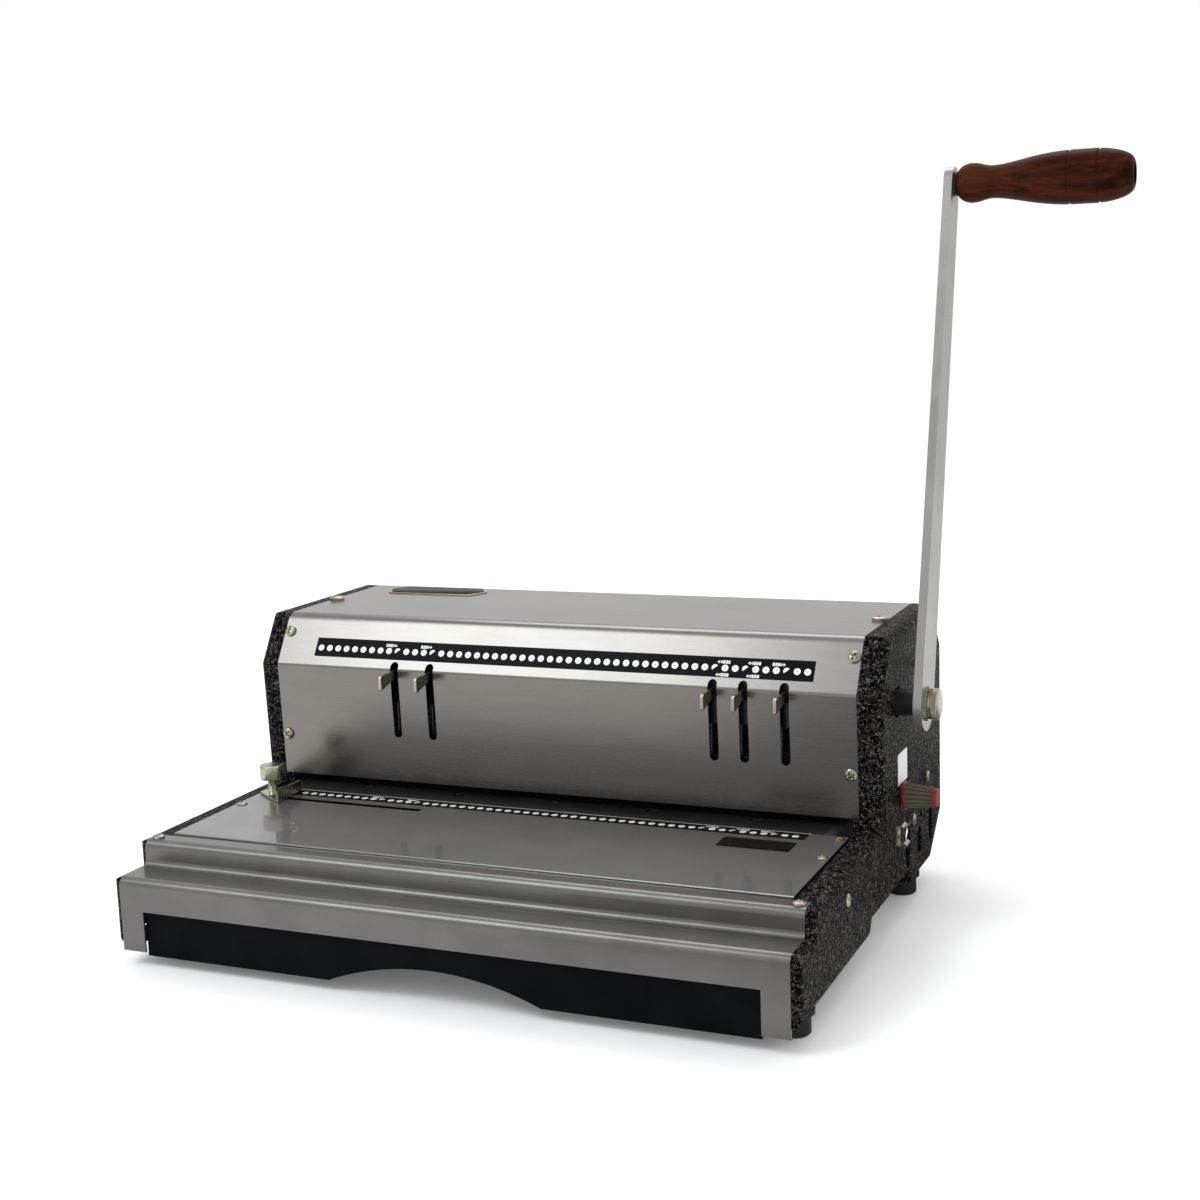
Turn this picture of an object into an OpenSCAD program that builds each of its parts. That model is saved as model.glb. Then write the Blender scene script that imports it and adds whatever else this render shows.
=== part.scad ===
// Desk punch for coil binding: a sheet-steel body with a stepped apron, a punching head with
// selectable pins, a side lever, an edge guide, a depth knob and a chip drawer.
// Millimetres, +Z up, +Y to the back. The origin lies on the desk, midway between the four feet.
// Depths (d) are measured back from the front face of the apron.

/* [Body] */
// Width across the two side plates
body_w = 416; // [408:1:440]
// Depth from the apron's face to the back
body_d = 317; // [312:1:340]
// Height of the head's top
body_h = 178; // [175:1:190]
// Thickness of the side plates
plate_t = 1.5; // [1.2:0.1:2]
// Thickness of the cover and apron sheet
skin_t = 1.2; // [0.8:0.1:1.5]
// Outer bend radius round the side plates
bend_r = 6; // [4:0.5:7]
// Width of the turned-in flange of a side plate
flange_w = 18; // [16:0.5:18]
// Flange left showing beside the cover
cover_reveal = 14; // [10:0.5:15]
// Flange left showing beside the apron
apron_reveal = 5; // [4:0.5:8]
// Gap where a sheet seats on another
seat_gap = 0.3; // [0.2:0.05:0.4]

/* [Base] */
// Height of the base flange beside the table
base_h = 67.6; // [66:0.1:70]
// Height of the ledge of the apron
ledge_h = 52.7; // [48:0.1:56]
// Depth of the ledge of the apron
ledge_d = 26; // [20:1:32]
// Height of the side plates' lower edge
plate_z = 14; // [12:0.5:15]
// Height of the apron's lower edge
apron_z = 9; // [6:0.5:12]
// Height of the hand arch in a side plate
arch_z = 26; // [22:0.5:32]
// Depth where the hand arch starts
arch_d = 131; // [125:1:140]
// Length of the hand arch
arch_len = 102; // [90:1:110]
// Length of the arch's sloped ends
arch_ramp = 6; // [3:0.5:10]
// Bend radius of the apron
apron_r = 3.5; // [2:0.5:5]

/* [Feet] */
// Diameter of a foot at the desk
foot_dia = 18; // [14:0.5:20]
// Diameter of a foot's upper rim
foot_rim_dia = 22; // [20:0.5:24]
// Thickness of a foot's upper rim
foot_rim_h = 3; // [2:0.5:5]
// Depth of the front feet
foot_front_d = 30; // [24:1:40]
// Distance of the rear feet from the back
foot_back = 57; // [52:1:70]
// Distance of a foot's centre from the outside of the body
foot_inset = 13; // [12:0.5:15]

/* [Table] */
// Height of the table's top
table_z = 68.6; // [67.5:0.1:71]
// Thickness of the table sheet
table_t = 2.2; // [1.5:0.1:2.5]
// Depth of the table's front edge
table_front = 39; // [36:1:44]
// Distance of the table's back edge in front of the cover's lower edge
throat_in = 18.2; // [16:0.2:24]
// Height of the turned-down front edge
table_lip = 9; // [6:0.5:12]

/* [Head] */
// Depth of the cover's lower front edge
head_d = 165.2; // [163:0.2:167]
// Height of the cover's lower front edge
head_z = 74; // [73.5:0.1:76]
// How far the cover's fold stands in front of its lower edge
fold_out = 2.9; // [2:0.1:5]
// Height of the cover's fold
fold_z = 147.3; // [145:0.1:150]
// Depth of the slope from the fold to the top
slope_run = 19; // [16:0.1:23]
// Depth of the back of the top
top_back = 296; // [290:1:300]
// Height where the back starts to slope in
back_z = 150; // [145:1:155]
// Bend radius where the slope meets the top
top_r = 7; // [4:0.5:9]
// Width of the pin lever slots in the cover
slot_w = 5.7; // [5:0.1:6.5]
// Height of the lower end of the slots
slot_low = 103; // [98:0.5:106]
// Height of the upper end of the slots
slot_high = 152; // [151:0.5:154]

/* [Punch] */
// Number of punch pins
pin_count = 53; // [51:2:53]
// Distance between punch pins
pin_pitch = 6.2865; // [6.1:0.0005:6.3]
// Diameter of a punch pin
pin_dia = 4; // [3.6:0.1:4.2]
// Distance of the row of pins behind the cover's lower edge
pin_in = 10.8; // [10:0.1:12]
// Stroke of the punch bar
stroke = 30; // [26:0.5:30]
// Thickness of a pin lever
hook_t = 1.8; // [1.5:0.1:2.4]
// Height of a pin lever's arm
hook_h = 8.3; // [7:0.1:9]
// How far a pin lever stands out of the cover
hook_out = 17.8; // [12:0.2:20]
// Thickness of the die plate
die_t = 12; // [10:0.5:14]
// Thickness of the pin guide plate
guide_t = 6; // [5:0.5:8]
// Diameter of the guide posts
post_dia = 8; // [7:0.5:9]
// Distance of a guide post from the middle
post_x = 59.7217; // [53:0.1:66]
// Radial running fit
run_fit = 0.05; // [0.02:0.01:0.08]

/* [Handle] */
// Distance of the drive shaft behind the cover's lower edge
shaft_in = 35.8; // [35:0.1:38]
// Height of the drive shaft
shaft_z = 136; // [134:0.5:138]
// Diameter of the drive shaft
shaft_dia = 15.5; // [13:0.5:16]
// Length of shaft between side plate and lever
shaft_out = 12.5; // [10:0.5:20]
// Distance from the shaft to the grip
lever_len = 308.5; // [260:0.5:340]
// Thickness of the lever
lever_t = 5; // [4:0.5:8]
// Width of the lever at the shaft
lever_w = 32; // [26:0.5:36]
// Width of the lever at the grip
lever_tip_w = 20; // [16:0.5:24]
// Backward lean of the lever at rest
lever_lean = 15; // [5:1:20]
// Length of the wooden grip
grip_len = 101; // [90:1:120]
// Largest diameter of the wooden grip
grip_dia = 31; // [28:0.5:34]

/* [Controls] */
// Distance of the knob's axis behind the cover's lower edge
knob_in = 40.8; // [39:0.1:45]
// Height of the knob's axis
knob_z = 78.5; // [77:0.5:82]
// Diameter of the knob at its base
knob_dia = 15.5; // [13.5:0.5:17.5]
// Length of the knob
knob_len = 20; // [16:0.5:24]
// Travel of the edge guide
guide_travel = 105; // [85:1:109]
// Distance of the edge guide's slot from the table's back edge
guide_in = 21; // [19:0.5:27]
// Diameter of the thumbscrew's head
thumb_dia = 15; // [12:0.5:17]

/* [Drawer] */
// Width of the drawer opening
drawer_w = 375; // [365:1:376]
// Height of the drawer opening's top
drawer_top = 33.4; // [31:0.2:36]
// Height of the drawer front's lower edge
drawer_z = 6.5; // [5:0.5:9]
// Length of the chip tray
tray_len = 205; // [180:1:215]
// Height of the tray's floor
tray_z = 20.3; // [20:0.1:22]
// Half width of the finger arch in the drawer front
pull_w = 65; // [50:1:80]
// Height of the finger arch
pull_h = 13; // [9:0.5:13]

/* [Hidden] */
$fn = 48;

// Pins that a lever can switch off, counted from the middle
lever_pins = [-17, -13, 17, 20, 24];

// The frame: depth d behind the apron's face becomes Y
foot_span = body_d - foot_back - foot_front_d;
apron_y = -foot_front_d - foot_span / 2;
half_w = body_w / 2;
seat = skin_t + seat_gap;
far = 600;

// Bolt and screw sizes
screw_r = 1.5;
screw_hole_r = 1.8;
head_r = 3.6;
head_h = 2;
head_sink = 0.1;
dome_r = 5;
dome_h = 2.8;
flat_head_r = 3.2;
flat_head_h = 1.1;

// Cross positions, from the middle outwards
cover_half = half_w - cover_reveal - seat_gap;
apron_half = half_w - apron_reveal;
table_half = cover_half - 1;
frame_t = 6;
frame_x = half_w - flange_w - 2 * frame_t;
row_half = (pin_count - 1) / 2 * pin_pitch;
bar_half = row_half + 5;
crank_t = 6;
crank_x = frame_x - crank_t - 2;

// Depths that follow the cover's lower edge
fold_d = head_d - fold_out;
top_d = fold_d + slope_run;
pin_d = head_d + pin_in;
shaft_d = head_d + shaft_in;
knob_d = head_d + knob_in;
table_back = head_d - throat_in;
guide_d = table_back - guide_in;

// The pressed outlines, each convex, counter-clockwise in depth and height
step_back = head_d + 40;
back_low = 40;
back_run = 32;
back_knee = [13, 15];
lower_step = [[0, plate_z], [step_back, plate_z], [step_back, ledge_h], [0, ledge_h]];
upper_step = [[ledge_d, plate_z], [step_back, plate_z], [step_back, base_h], [ledge_d, base_h]];
head_lean = (head_d - fold_d) / (fold_z - head_z);
head_block = [
    [fold_d + head_lean * (fold_z - plate_z), plate_z],
    [body_d - back_run, plate_z],
    [body_d - back_knee[0], plate_z + back_knee[1]],
    [body_d, back_low],
    [body_d, back_z],
    [top_back, body_h],
    [top_d, body_h],
    [fold_d, fold_z]
];

// Heights inside the head
throat_z = head_z;
die_z = table_z - die_t;
die_front = table_back + seat_gap;
die_back = pin_d + 22;
guide_front = head_d + 3;
guide_top = throat_z + guide_t;
bar_z = guide_top + 44;
bar_h = 38;
bar_front = pin_d - 5;
bar_back = shaft_d - shaft_dia / 2 - 2.25;
post_d = (pin_d + pin_dia / 2 + bar_back) / 2 + 0.5;
hook_z = bar_z + 14.7;
crank_r = stroke / sqrt(2);
crank_pin_r = 4;
crank_play = 0.8;
crank_pin_z = shaft_z + stroke / 2;
crank_pin_d = shaft_d - stroke / 2;
tip_z = throat_z + 2;

// Lever and grip
lever_x = half_w + shaft_out;
grip_y = shaft_d + lever_len * sin(lever_lean);
grip_z = shaft_z + lever_len * cos(lever_lean);
spigot_r = 6;
spindle_r = 4;
washer_t = 1.5;
grip_x = lever_x + lever_t + washer_t + seat_gap;

// Tie bars as depth and height
tie_bars_at = [[85.5, 53.6], [272, 72.7], [250, 150]];
tie_r = 5;

function unit(v) = v / norm(v);
function left(v) = [-v[1], v[0]];
function cross2(a, b) = a[0] * b[1] - a[1] * b[0];
function turn(u, w) = atan2(cross2(u, w), u * w);
function pin_x(i) = i * pin_pitch;

// Points of a quarter circle about a centre, counter-clockwise from an angle
function corner(centre, r, from) = [for (i = [0:5]) centre + r * [cos(from + 18 * i), sin(from + 18 * i)]];

// Depth and height outline carried across from x to x + w
module across(x, w) {
    translate([x, apron_y, 0]) rotate([90, 0, 90]) linear_extrude(w) children();
}

// Round bar along X from x to x + w at depth d and height z
module cross_bar(x, w, d, z, r) {
    translate([x, apron_y + d, z]) rotate([0, 90, 0]) cylinder(r = r, h = w);
}

// Block given by its low corner and size, with depth in place of Y
module block(x, d, z, size) {
    translate([x, apron_y + d, z]) cube(size);
}

// Upright cylinder at depth d
module post(x, d, z, r, h) {
    translate([x, apron_y + d, z]) cylinder(r = r, h = h);
}

module both_sides() {
    children();
    mirror([1, 0, 0]) children();
}

// Sheet of thickness t on the left of a path, with inner bend radius r[i] at path point i.
// Each straight runs a hair into the bends beside it, so that they join.
module bent_sheet(path, r, t) {
    lap = 0.02;
    last = len(path) - 1;
    dirs = [for (i = [0:last - 1]) unit(path[i + 1] - path[i])];
    angles = [for (i = [0:last]) i == 0 || i == last ? 0 : turn(dirs[i - 1], dirs[i])];
    radii = [for (i = [0:last]) angles[i] > 0 ? r[i] + t : r[i]];
    cuts = [for (i = [0:last]) radii[i] * tan(abs(angles[i]) / 2)];
    for (i = [0:last - 1]) {
        a = path[i] + dirs[i] * (cuts[i] - (i > 0 ? lap : 0));
        b = path[i + 1] - dirs[i] * (cuts[i + 1] - (i < last - 1 ? lap : 0));
        polygon([a, b, b + left(dirs[i]) * t, a + left(dirs[i]) * t]);
    }
    for (i = [1:1:last - 1]) {
        side = sign(angles[i]);
        start = path[i] - dirs[i - 1] * cuts[i];
        end = path[i] + dirs[i] * cuts[i];
        centre = start + left(dirs[i - 1]) * side * radii[i];
        inner = side > 0 ? radii[i] - t : radii[i];
        reach = 2 * (inner + t);
        intersection() {
            translate(centre) difference() {
                circle(r = inner + t);
                circle(r = inner);
            }
            polygon([centre, centre + unit(start - centre) * reach,
                centre + unit(start + end - 2 * centre) * reach, centre + unit(end - centre) * reach]);
        }
    }
}

// Half space inside one edge of a pressed plate, with the bend's round along the edge
module pressed_edge(p, q, inset) {
    u = unit(q - p);
    r = bend_r - inset;
    outer = half_w - inset;
    multmatrix([[0, 1, 0, 0], [-u[1], 0, u[0], apron_y + p[0]], [u[0], 0, u[1], p[1]], [0, 0, 0, 1]])
        linear_extrude(2 * far, center = true) {
            translate([inset, 0]) square([far, outer - r]);
            translate([inset + r, 0]) square([far, outer]);
            translate([inset + r, outer - r]) circle(r = r);
        }
}

// The edges of an outline from its second on: the lower edge is shared by all blocks
module pressed_block(outline, inset) {
    intersection_for(i = [1:len(outline) - 1])
        pressed_edge(outline[i], outline[(i + 1) % len(outline)], inset);
}

module pressed_body(inset) {
    intersection() {
        pressed_edge(lower_step[0], lower_step[1], inset);
        union() {
            pressed_block(lower_step, inset);
            pressed_block(upper_step, inset);
            pressed_block(head_block, inset);
        }
    }
}

// Outline moved inwards by an amount, edge by edge
function moved(outline, inset, i) =
    let (n = len(outline), p = outline[(i + n - 1) % n], q = outline[i], s = outline[(i + 1) % n],
        u = unit(q - p), w = unit(s - q), half_turn = turn(u, w) / 2)
    q + (left(u) + left(w)) / norm(left(u) + left(w)) * inset / cos(half_turn);
module shrunk(outline, inset) {
    polygon([for (i = [0:len(outline) - 1]) moved(outline, inset, i)]);
}
module shrunk_body(inset) {
    shrunk(lower_step, inset);
    shrunk(upper_step, inset);
    shrunk(head_block, inset);
}

// Pan-head screw at the origin, pointing down, its head on top of z = 0
module screw(length, r = head_r, h = head_h) {
    rotate_extrude() {
        intersection() {
            translate([0, -r * 1.3]) circle(r = r * 1.3 + h);
            square([r, h]);
        }
        translate([0, -length]) square([screw_r, length]);
    }
}

// Side plates

// Hand arch under a side plate
module hand_arch() {
    across(half_w - flange_w - 1, flange_w + 2)
        polygon([[arch_d, plate_z - 1], [arch_d, plate_z], [arch_d + arch_ramp, arch_z],
            [arch_d + arch_len - arch_ramp, arch_z], [arch_d + arch_len, plate_z],
            [arch_d + arch_len, plate_z - 1]]);
}

// Inner face of the set-back lip; the lower flange keeps the plate's own level
module lip_inside() {
    inner = seat + plate_t;
    shrunk_body(inner);
    translate([inner, plate_z + plate_t]) square([arch_d, 2 * seat]);
}

// Corner of a seat cut back to clear the inside of a bend of radius r that turns by an angle
module seat_corner(at, angle, r) {
    lean = tan(angle / 2);
    p = [at[0] + seat * lean, at[1] - seat];
    k = (r - seat) * lean;
    polygon([p, p - k * [cos(angle), sin(angle)], p + [k, 0]]);
}

module seat_body() {
    difference() {
        shrunk_body(seat);
        seat_corner([0, ledge_h], 90, apron_r);
        seat_corner([ledge_d, base_h], 90, apron_r);
        seat_corner([top_d, body_h], slope, top_r);
    }
}

module side_plate_shell() {
    joggle = 3;
    lip_x = half_w - flange_w - 1;
    difference() {
        intersection() {
            pressed_body(0);
            block(half_w - flange_w, -1, 0, [flange_w, far, far]);
        }
        intersection() {
            pressed_body(plate_t);
            union() {
                block(cover_edge + joggle, table_front + joggle - 1, 0, [far, far, far]);
                block(apron_edge + joggle, -1, 0, [far, table_front + 2, far]);
            }
        }
        across(lip_x, cover_edge + joggle - lip_x) difference() {
            lip_inside();
            square([table_front, far]);
        }
        across(lip_x, apron_edge + joggle - lip_x) intersection() {
            lip_inside();
            square([table_front + joggle, far]);
        }
        across(lip_x, cover_edge - lip_x) difference() {
            union() {
                translate([table_front - seat_gap, base_h - seat]) square([far, far]);
                translate([step_back, rear_low - seat_gap]) square([far, far]);
            }
            seat_body();
        }
        across(lip_x, apron_edge - lip_x) difference() {
            translate([-1, -1]) square([table_front + 1, far]);
            seat_body();
            translate([seat, plate_z]) square([table_front, 2 * seat]);
        }
        block(lip_x, table_front - seat_gap, ledge_h,
            [table_half + seat_gap - lip_x, table_t + 2 * seat_gap, far]);
        hand_arch();
        for (at = tie_bars_at) cross_bar(half_w - plate_t - 1, far, at[0], at[1], screw_hole_r);
        for (d = foot_depths) post(half_w - foot_inset, d, plate_z - 1, screw_hole_r, plate_t + 2 * seat + 2);
        cover_screw_places() cylinder(r = screw_hole_r, h = 16, center = true);
        table_screw_places() cylinder(r = screw_hole_r, h = 16, center = true);
        apron_screw_places() cylinder(r = screw_hole_r, h = 16, center = true);
    }
}
cover_edge = cover_half + seat_gap;
rear_low = back_low + 6;
apron_edge = apron_half + seat_gap;
foot_depths = [foot_front_d, foot_front_d + foot_span];

// Vent slots, in depth and height of their lower ends, and their length
vents = [[223.5, 28, 26], [253.5, 28, 18.5], [284, 28, 22]];
vent_w = 11;
spare_hole_at = [257, 53];
spare_hole_r = 2.6;
peg_at = [224, 58.5];
clip_at = [197, 57.3];
knob_hole_r = 5;
spindle_knob_r = 3;

module upright_slot(at, w) {
    cross_bar(half_w - 4, 8, at[0], at[1] + w / 2, w / 2);
    cross_bar(half_w - 4, 8, at[0], at[1] + at[2] - w / 2, w / 2);
    block(half_w - 4, at[0] - w / 2, at[1] + w / 2, [8, w, at[2] - w]);
}

module side_plate_left() {
    color("#2b2b2b") mirror([1, 0, 0]) side_plate_shell();
}

module side_plate_right() {
    color("#2b2b2b") difference() {
        side_plate_shell();
        cross_bar(half_w - 4, 8, shaft_d, shaft_z, shaft_dia / 2 + 1.5);
        cross_bar(half_w - 4, 8, knob_d, knob_z, knob_hole_r);
        for (v = vents) upright_slot(v, vent_w);
        cross_bar(half_w - 4, 8, spare_hole_at[0], spare_hole_at[1], spare_hole_r);
        for (at = [peg_at, clip_at]) cross_bar(half_w - 4, 8, at[0], at[1], screw_r + run_fit);
    }
}

// Sheets

// Front, slope and top of the head, seen from the back over the top to the front
cover_path = [[top_back, body_h], [top_d, body_h], [fold_d, fold_z], [head_d, head_z]];
cover_screw_z = [100.4, 167];
slope = atan2(body_h - fold_z, top_d - fold_d);
front_tilt = atan(head_lean);
slope_d = fold_d + (cover_screw_z[1] - fold_z) / tan(slope);
front_d = fold_d + head_lean * (fold_z - cover_screw_z[0]);
cover_screw_in = 4;
top_screw_d = 233;

// Puts its child, pointing down, on each screw place of the right end of the cover
module cover_screw_places() {
    x = cover_half - cover_screw_in;
    translate([x, apron_y + front_d, cover_screw_z[0]]) rotate([90 + front_tilt, 0, 0]) children(0);
    translate([x, apron_y + slope_d, cover_screw_z[1]]) rotate([slope, 0, 0]) children(0);
    translate([x, apron_y + top_screw_d, body_h]) children($children - 1);
}

module head_cover() {
    color("#b9bcbf") difference() {
        across(-cover_half, 2 * cover_half) bent_sheet(cover_path, [0, top_r, 2, 0], skin_t);
        for (i = lever_pins) {
            block(pin_x(i) - slot_w / 2, fold_d - 10, slot_low + slot_w / 2,
                [slot_w, 25, slot_high - slot_low - slot_w]);
            for (z = [slot_low + slot_w / 2, slot_high - slot_w / 2])
                translate([pin_x(i), apron_y + fold_d + 15, z]) rotate([90, 0, 0])
                    cylinder(r = slot_w / 2, h = 25);
        }
        both_sides() cover_screw_places() cylinder(r = screw_hole_r, h = 10, center = true);
    }
}

module rear_cover() {
    run = [body_d - top_back - seat_gap, back_z - body_h];
    end = [top_back + seat_gap, body_h] + 2 * skin_t * unit(run);
    path = [[body_d, rear_low], [body_d, back_z], end];
    color("#2b2b2b") across(-cover_half, 2 * cover_half) bent_sheet(path, [0, 3, 0], skin_t);
}

apron_path = [[table_front - seat_gap, base_h], [ledge_d, base_h], [ledge_d, ledge_h], [0, ledge_h],
    [0, apron_z]];
apron_screw_in = 5;
apron_screw_d = ledge_d + 7;

module apron_screw_places() {
    translate([apron_half - apron_screw_in, apron_y + apron_screw_d, base_h]) children();
}

module front_apron() {
    color("#a9abad") difference() {
        across(-apron_half, 2 * apron_half)
            bent_sheet(apron_path, [0, apron_r, apron_r, apron_r, 0], skin_t);
        block(-drawer_w / 2, -1, 0, [drawer_w, 10, drawer_top]);
        both_sides() apron_screw_places() cylinder(r = screw_hole_r, h = 8, center = true);
    }
}

table_screw_d = [table_back - 41, table_back - 7];
table_screw_in = 3.8;
guide_stem_r = 2;
guide_rest_x = -179;

module table_screw_places() {
    for (d = table_screw_d)
        translate([table_half - table_screw_in, apron_y + d, table_z]) children();
}

module punch_table() {
    path = [[table_back, table_z], [table_front, table_z], [table_front, table_z - table_lip]];
    slot_half = guide_stem_r + 0.5;
    color("#a9abad") difference() {
        across(-table_half, 2 * table_half) bent_sheet(path, [0, 1, 0], table_t);
        block(guide_rest_x, guide_d - slot_half, table_z - table_t - 1,
            [guide_travel, 2 * slot_half, table_t + 2]);
        for (x = [guide_rest_x, guide_rest_x + guide_travel])
            post(x, guide_d, table_z - table_t - 1, slot_half, table_t + 2);
        both_sides() table_screw_places() cylinder(r = screw_hole_r, h = 8, center = true);
    }
}

// Frame inside the head

bush_r = 11;
bush_flange_r = 15;
bush_flange_t = 1.5;
gauge_z = table_z + seat_gap;
gauge_h = 3.6;
gauge_front = pin_d + 5;
gauge_back = gauge_front + 16;

module inner_frame() {
    base = die_z - 16;
    rear = tie_bars_at[1][0] + 12;
    difference() {
        across(frame_x, frame_t)
            polygon([[die_front, base], [rear, base], [rear, tie_bars_at[2][1] + 12],
                [top_d - 3, tie_bars_at[2][1] + 12], [guide_front + 1.5, fold_z - 5],
                [guide_front + 1.5, throat_z], [die_back + 8, throat_z], [die_back + 8, table_z],
                [die_front, table_z]]);
        cross_bar(frame_x - 1, frame_t + 2, shaft_d, shaft_z, bush_r);
        for (at = [tie_bars_at[1], tie_bars_at[2]])
            cross_bar(frame_x - 1, frame_t + 2, at[0], at[1], tie_r + run_fit);
    }
}

module inner_frame_left() {
    color("#6d7074") mirror([1, 0, 0]) inner_frame();
}

module inner_frame_right() {
    color("#6d7074") inner_frame();
}

die_screw_x = [-132, -66, 0, 66, 132];
die_screw_d = head_d;
die_half = frame_x - seat_gap;

module pin_row(z, h, r) {
    for (i = [-(pin_count - 1) / 2:(pin_count - 1) / 2]) post(pin_x(i), pin_d, z, r, h);
}

module die_plate() {
    color("#1f1f21") difference() {
        block(-die_half, die_front, die_z, [2 * die_half, die_back - die_front, die_t]);
        pin_row(die_z - 1, die_t + 2, pin_dia / 2 + run_fit);
        for (x = die_screw_x) {
            post(x, die_screw_d, table_z - 6, screw_hole_r, 7);
            post(x, die_screw_d, table_z - head_h - head_sink, head_r + seat_gap, head_h + 1);
        }
    }
}

module pin_guide_plate() {
    color("#4a4d50") difference() {
        block(-die_half, guide_front, throat_z, [2 * die_half, die_back - guide_front, guide_t]);
        pin_row(throat_z - 1, guide_t + 2, pin_dia / 2 + run_fit);
        for (k = [-1, 1]) post(k * post_x, post_d, throat_z - 1, post_dia / 2 + run_fit, guide_t + 2);
    }
}

post_top = bar_z + bar_h + 6;

module guide_posts() {
    color("#c9ccd0") for (k = [-1, 1]) post(k * post_x, post_d, throat_z, post_dia / 2, post_top - throat_z);
}

module shaft_bushes() {
    color("#b08d57") both_sides() difference() {
        union() {
            cross_bar(frame_x, frame_t, shaft_d, shaft_z, bush_r);
            cross_bar(frame_x + frame_t, bush_flange_t, shaft_d, shaft_z, bush_flange_r);
        }
        cross_bar(frame_x - 1, frame_t + 4, shaft_d, shaft_z, shaft_dia / 2 + run_fit);
    }
}

module tie_bars() {
    reach = half_w - plate_t - seat_gap;
    color("#b9bcbf") for (at = tie_bars_at) difference() {
        cross_bar(-reach, 2 * reach, at[0], at[1], tie_r);
        for (x = [-reach - 1, reach - 14]) cross_bar(x, 15, at[0], at[1], screw_r + run_fit);
    }
}

// Return springs round the guide posts, as one wound wire each
spring_wire_r = 0.8;
spring_r = post_dia / 2 + spring_wire_r + 0.6;
spring_turns = 8;
spring_low = guide_top + spring_wire_r + seat_gap;
spring_rise = bar_z - guide_top - 2 * spring_wire_r - 2 * seat_gap;
spring_steps = 8;
spring_sides = 6;

function spring_centre(i) =
    let (a = 360 * i / spring_steps, n = spring_turns * spring_steps)
    [spring_r * cos(a), spring_r * sin(a), spring_rise * i / n];
function spring_point(i, k) =
    let (a = 360 * i / spring_steps, b = 360 * k / spring_sides, c = spring_centre(i))
    c + spring_wire_r * [cos(b) * cos(a), cos(b) * sin(a), sin(b)];

module wound_spring() {
    n = spring_turns * spring_steps;
    points = [for (i = [0:n]) for (k = [0:spring_sides - 1]) spring_point(i, k)];
    walls = [for (i = [0:n - 1]) for (k = [0:spring_sides - 1])
        let (k2 = (k + 1) % spring_sides, a = i * spring_sides, b = a + spring_sides)
        each [[a + k, b + k, b + k2], [a + k, b + k2, a + k2]]];
    caps = [for (k = [1:spring_sides - 2])
        each [[0, k, k + 1], [n * spring_sides, n * spring_sides + k + 1, n * spring_sides + k]]];
    polyhedron(points, concat(walls, caps));
}
coil_gap = spring_rise / spring_turns - 2 * spring_wire_r;
echo(least_gap_between_spring_turns = coil_gap);

module return_springs() {
    color("#c9ccd0") for (k = [-1, 1])
        translate([k * post_x, apron_y + post_d, spring_low]) wound_spring();
}

// Drawer

tray_half = drawer_w / 2 - 3;
tray_t = 1.2;
rail_t = 1.5;
rail_front = 12;
rail_len = arch_d - rail_front - 4;
front_t = 2.5;
front_d0 = skin_t + 0.6;

module drawer_rails() {
    shelf = 10;
    foot_w = flange_w - plate_t - bend_r;
    guide_x = tray_half + seat_gap;
    base = plate_z + plate_t + seat_gap;
    shelf_z = tray_z - tray_t - seat_gap - rail_t;
    color("#6d7074") both_sides() difference() {
        union() {
            block(guide_x, rail_front, base, [half_w - flange_w + foot_w - guide_x, rail_len, rail_t]);
            block(guide_x, rail_front, base, [rail_t, rail_len, drawer_top - base - 3]);
            block(guide_x - shelf, rail_front, shelf_z, [shelf + rail_t, rail_len, rail_t]);
        }
        post(half_w - foot_inset, foot_front_d, base - 1, screw_hole_r, rail_t + 2);
    }
}

// Finger arch of the drawer front: a flat top with a smooth S on each side
pull_flat = 0.3;
pull_steps = 12;
function s_curve(t) = (1 - cos(180 * t)) / 2;
function pull_side(k) = [for (i = [0:pull_steps])
    let (t = k > 0 ? 1 - i / pull_steps : i / pull_steps)
    [k * pull_w * (1 - t * (1 - pull_flat)), drawer_z + pull_h * s_curve(t)]];

module drawer_front() {
    half = drawer_w / 2 - 0.8;
    color("#17181a") translate([0, apron_y + front_d0 + front_t, 0]) rotate([90, 0, 0])
        linear_extrude(front_t) polygon(concat([[half, drawer_z], [half, drawer_top - 0.5],
            [-half, drawer_top - 0.5], [-half, drawer_z]], pull_side(-1), pull_side(1)));
}

module drawer_tray() {
    start = front_d0 + front_t;
    wall_h = drawer_top - 2 - tray_z;
    color("#17181a") difference() {
        block(-tray_half, start, tray_z - tray_t, [2 * tray_half, tray_len, wall_h + tray_t]);
        block(-tray_half + tray_t, start + tray_t, tray_z,
            [2 * (tray_half - tray_t), tray_len - 2 * tray_t, wall_h + 1]);
    }
}

// Feet and screws

module at_feet() {
    for (d = foot_depths) both_sides() translate([half_w - foot_inset, apron_y + d, 0]) children();
}

foot_bore_r = 4.5;
foot_floor = 5;

module rubber_feet() {
    taper = 1;
    r = foot_dia / 2;
    rim = foot_rim_dia / 2;
    color("#141414") at_feet() rotate_extrude()
        polygon([[foot_bore_r, 0], [r - taper, 0], [r, 1], [r, plate_z - foot_rim_h - 1],
            [rim, plate_z - foot_rim_h], [rim, plate_z], [screw_hole_r, plate_z],
            [screw_hole_r, foot_floor], [foot_bore_r, foot_floor]]);
}

module foot_screws() {
    color("#c9ccd0") at_feet() translate([0, 0, foot_floor]) mirror([0, 0, 1])
        screw(plate_z + plate_t + 3 - foot_floor);
}

module cover_screws() {
    color("#d6d3c8") both_sides() cover_screw_places() {
        screw(6);
        screw(6, dome_r, dome_h);
    }
}

module table_screws() {
    color("#d6d3c8") both_sides() table_screw_places() screw(6, flat_head_r, flat_head_h);
}

module apron_screws() {
    color("#d6d3c8") both_sides() apron_screw_places() screw(6);
}

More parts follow.
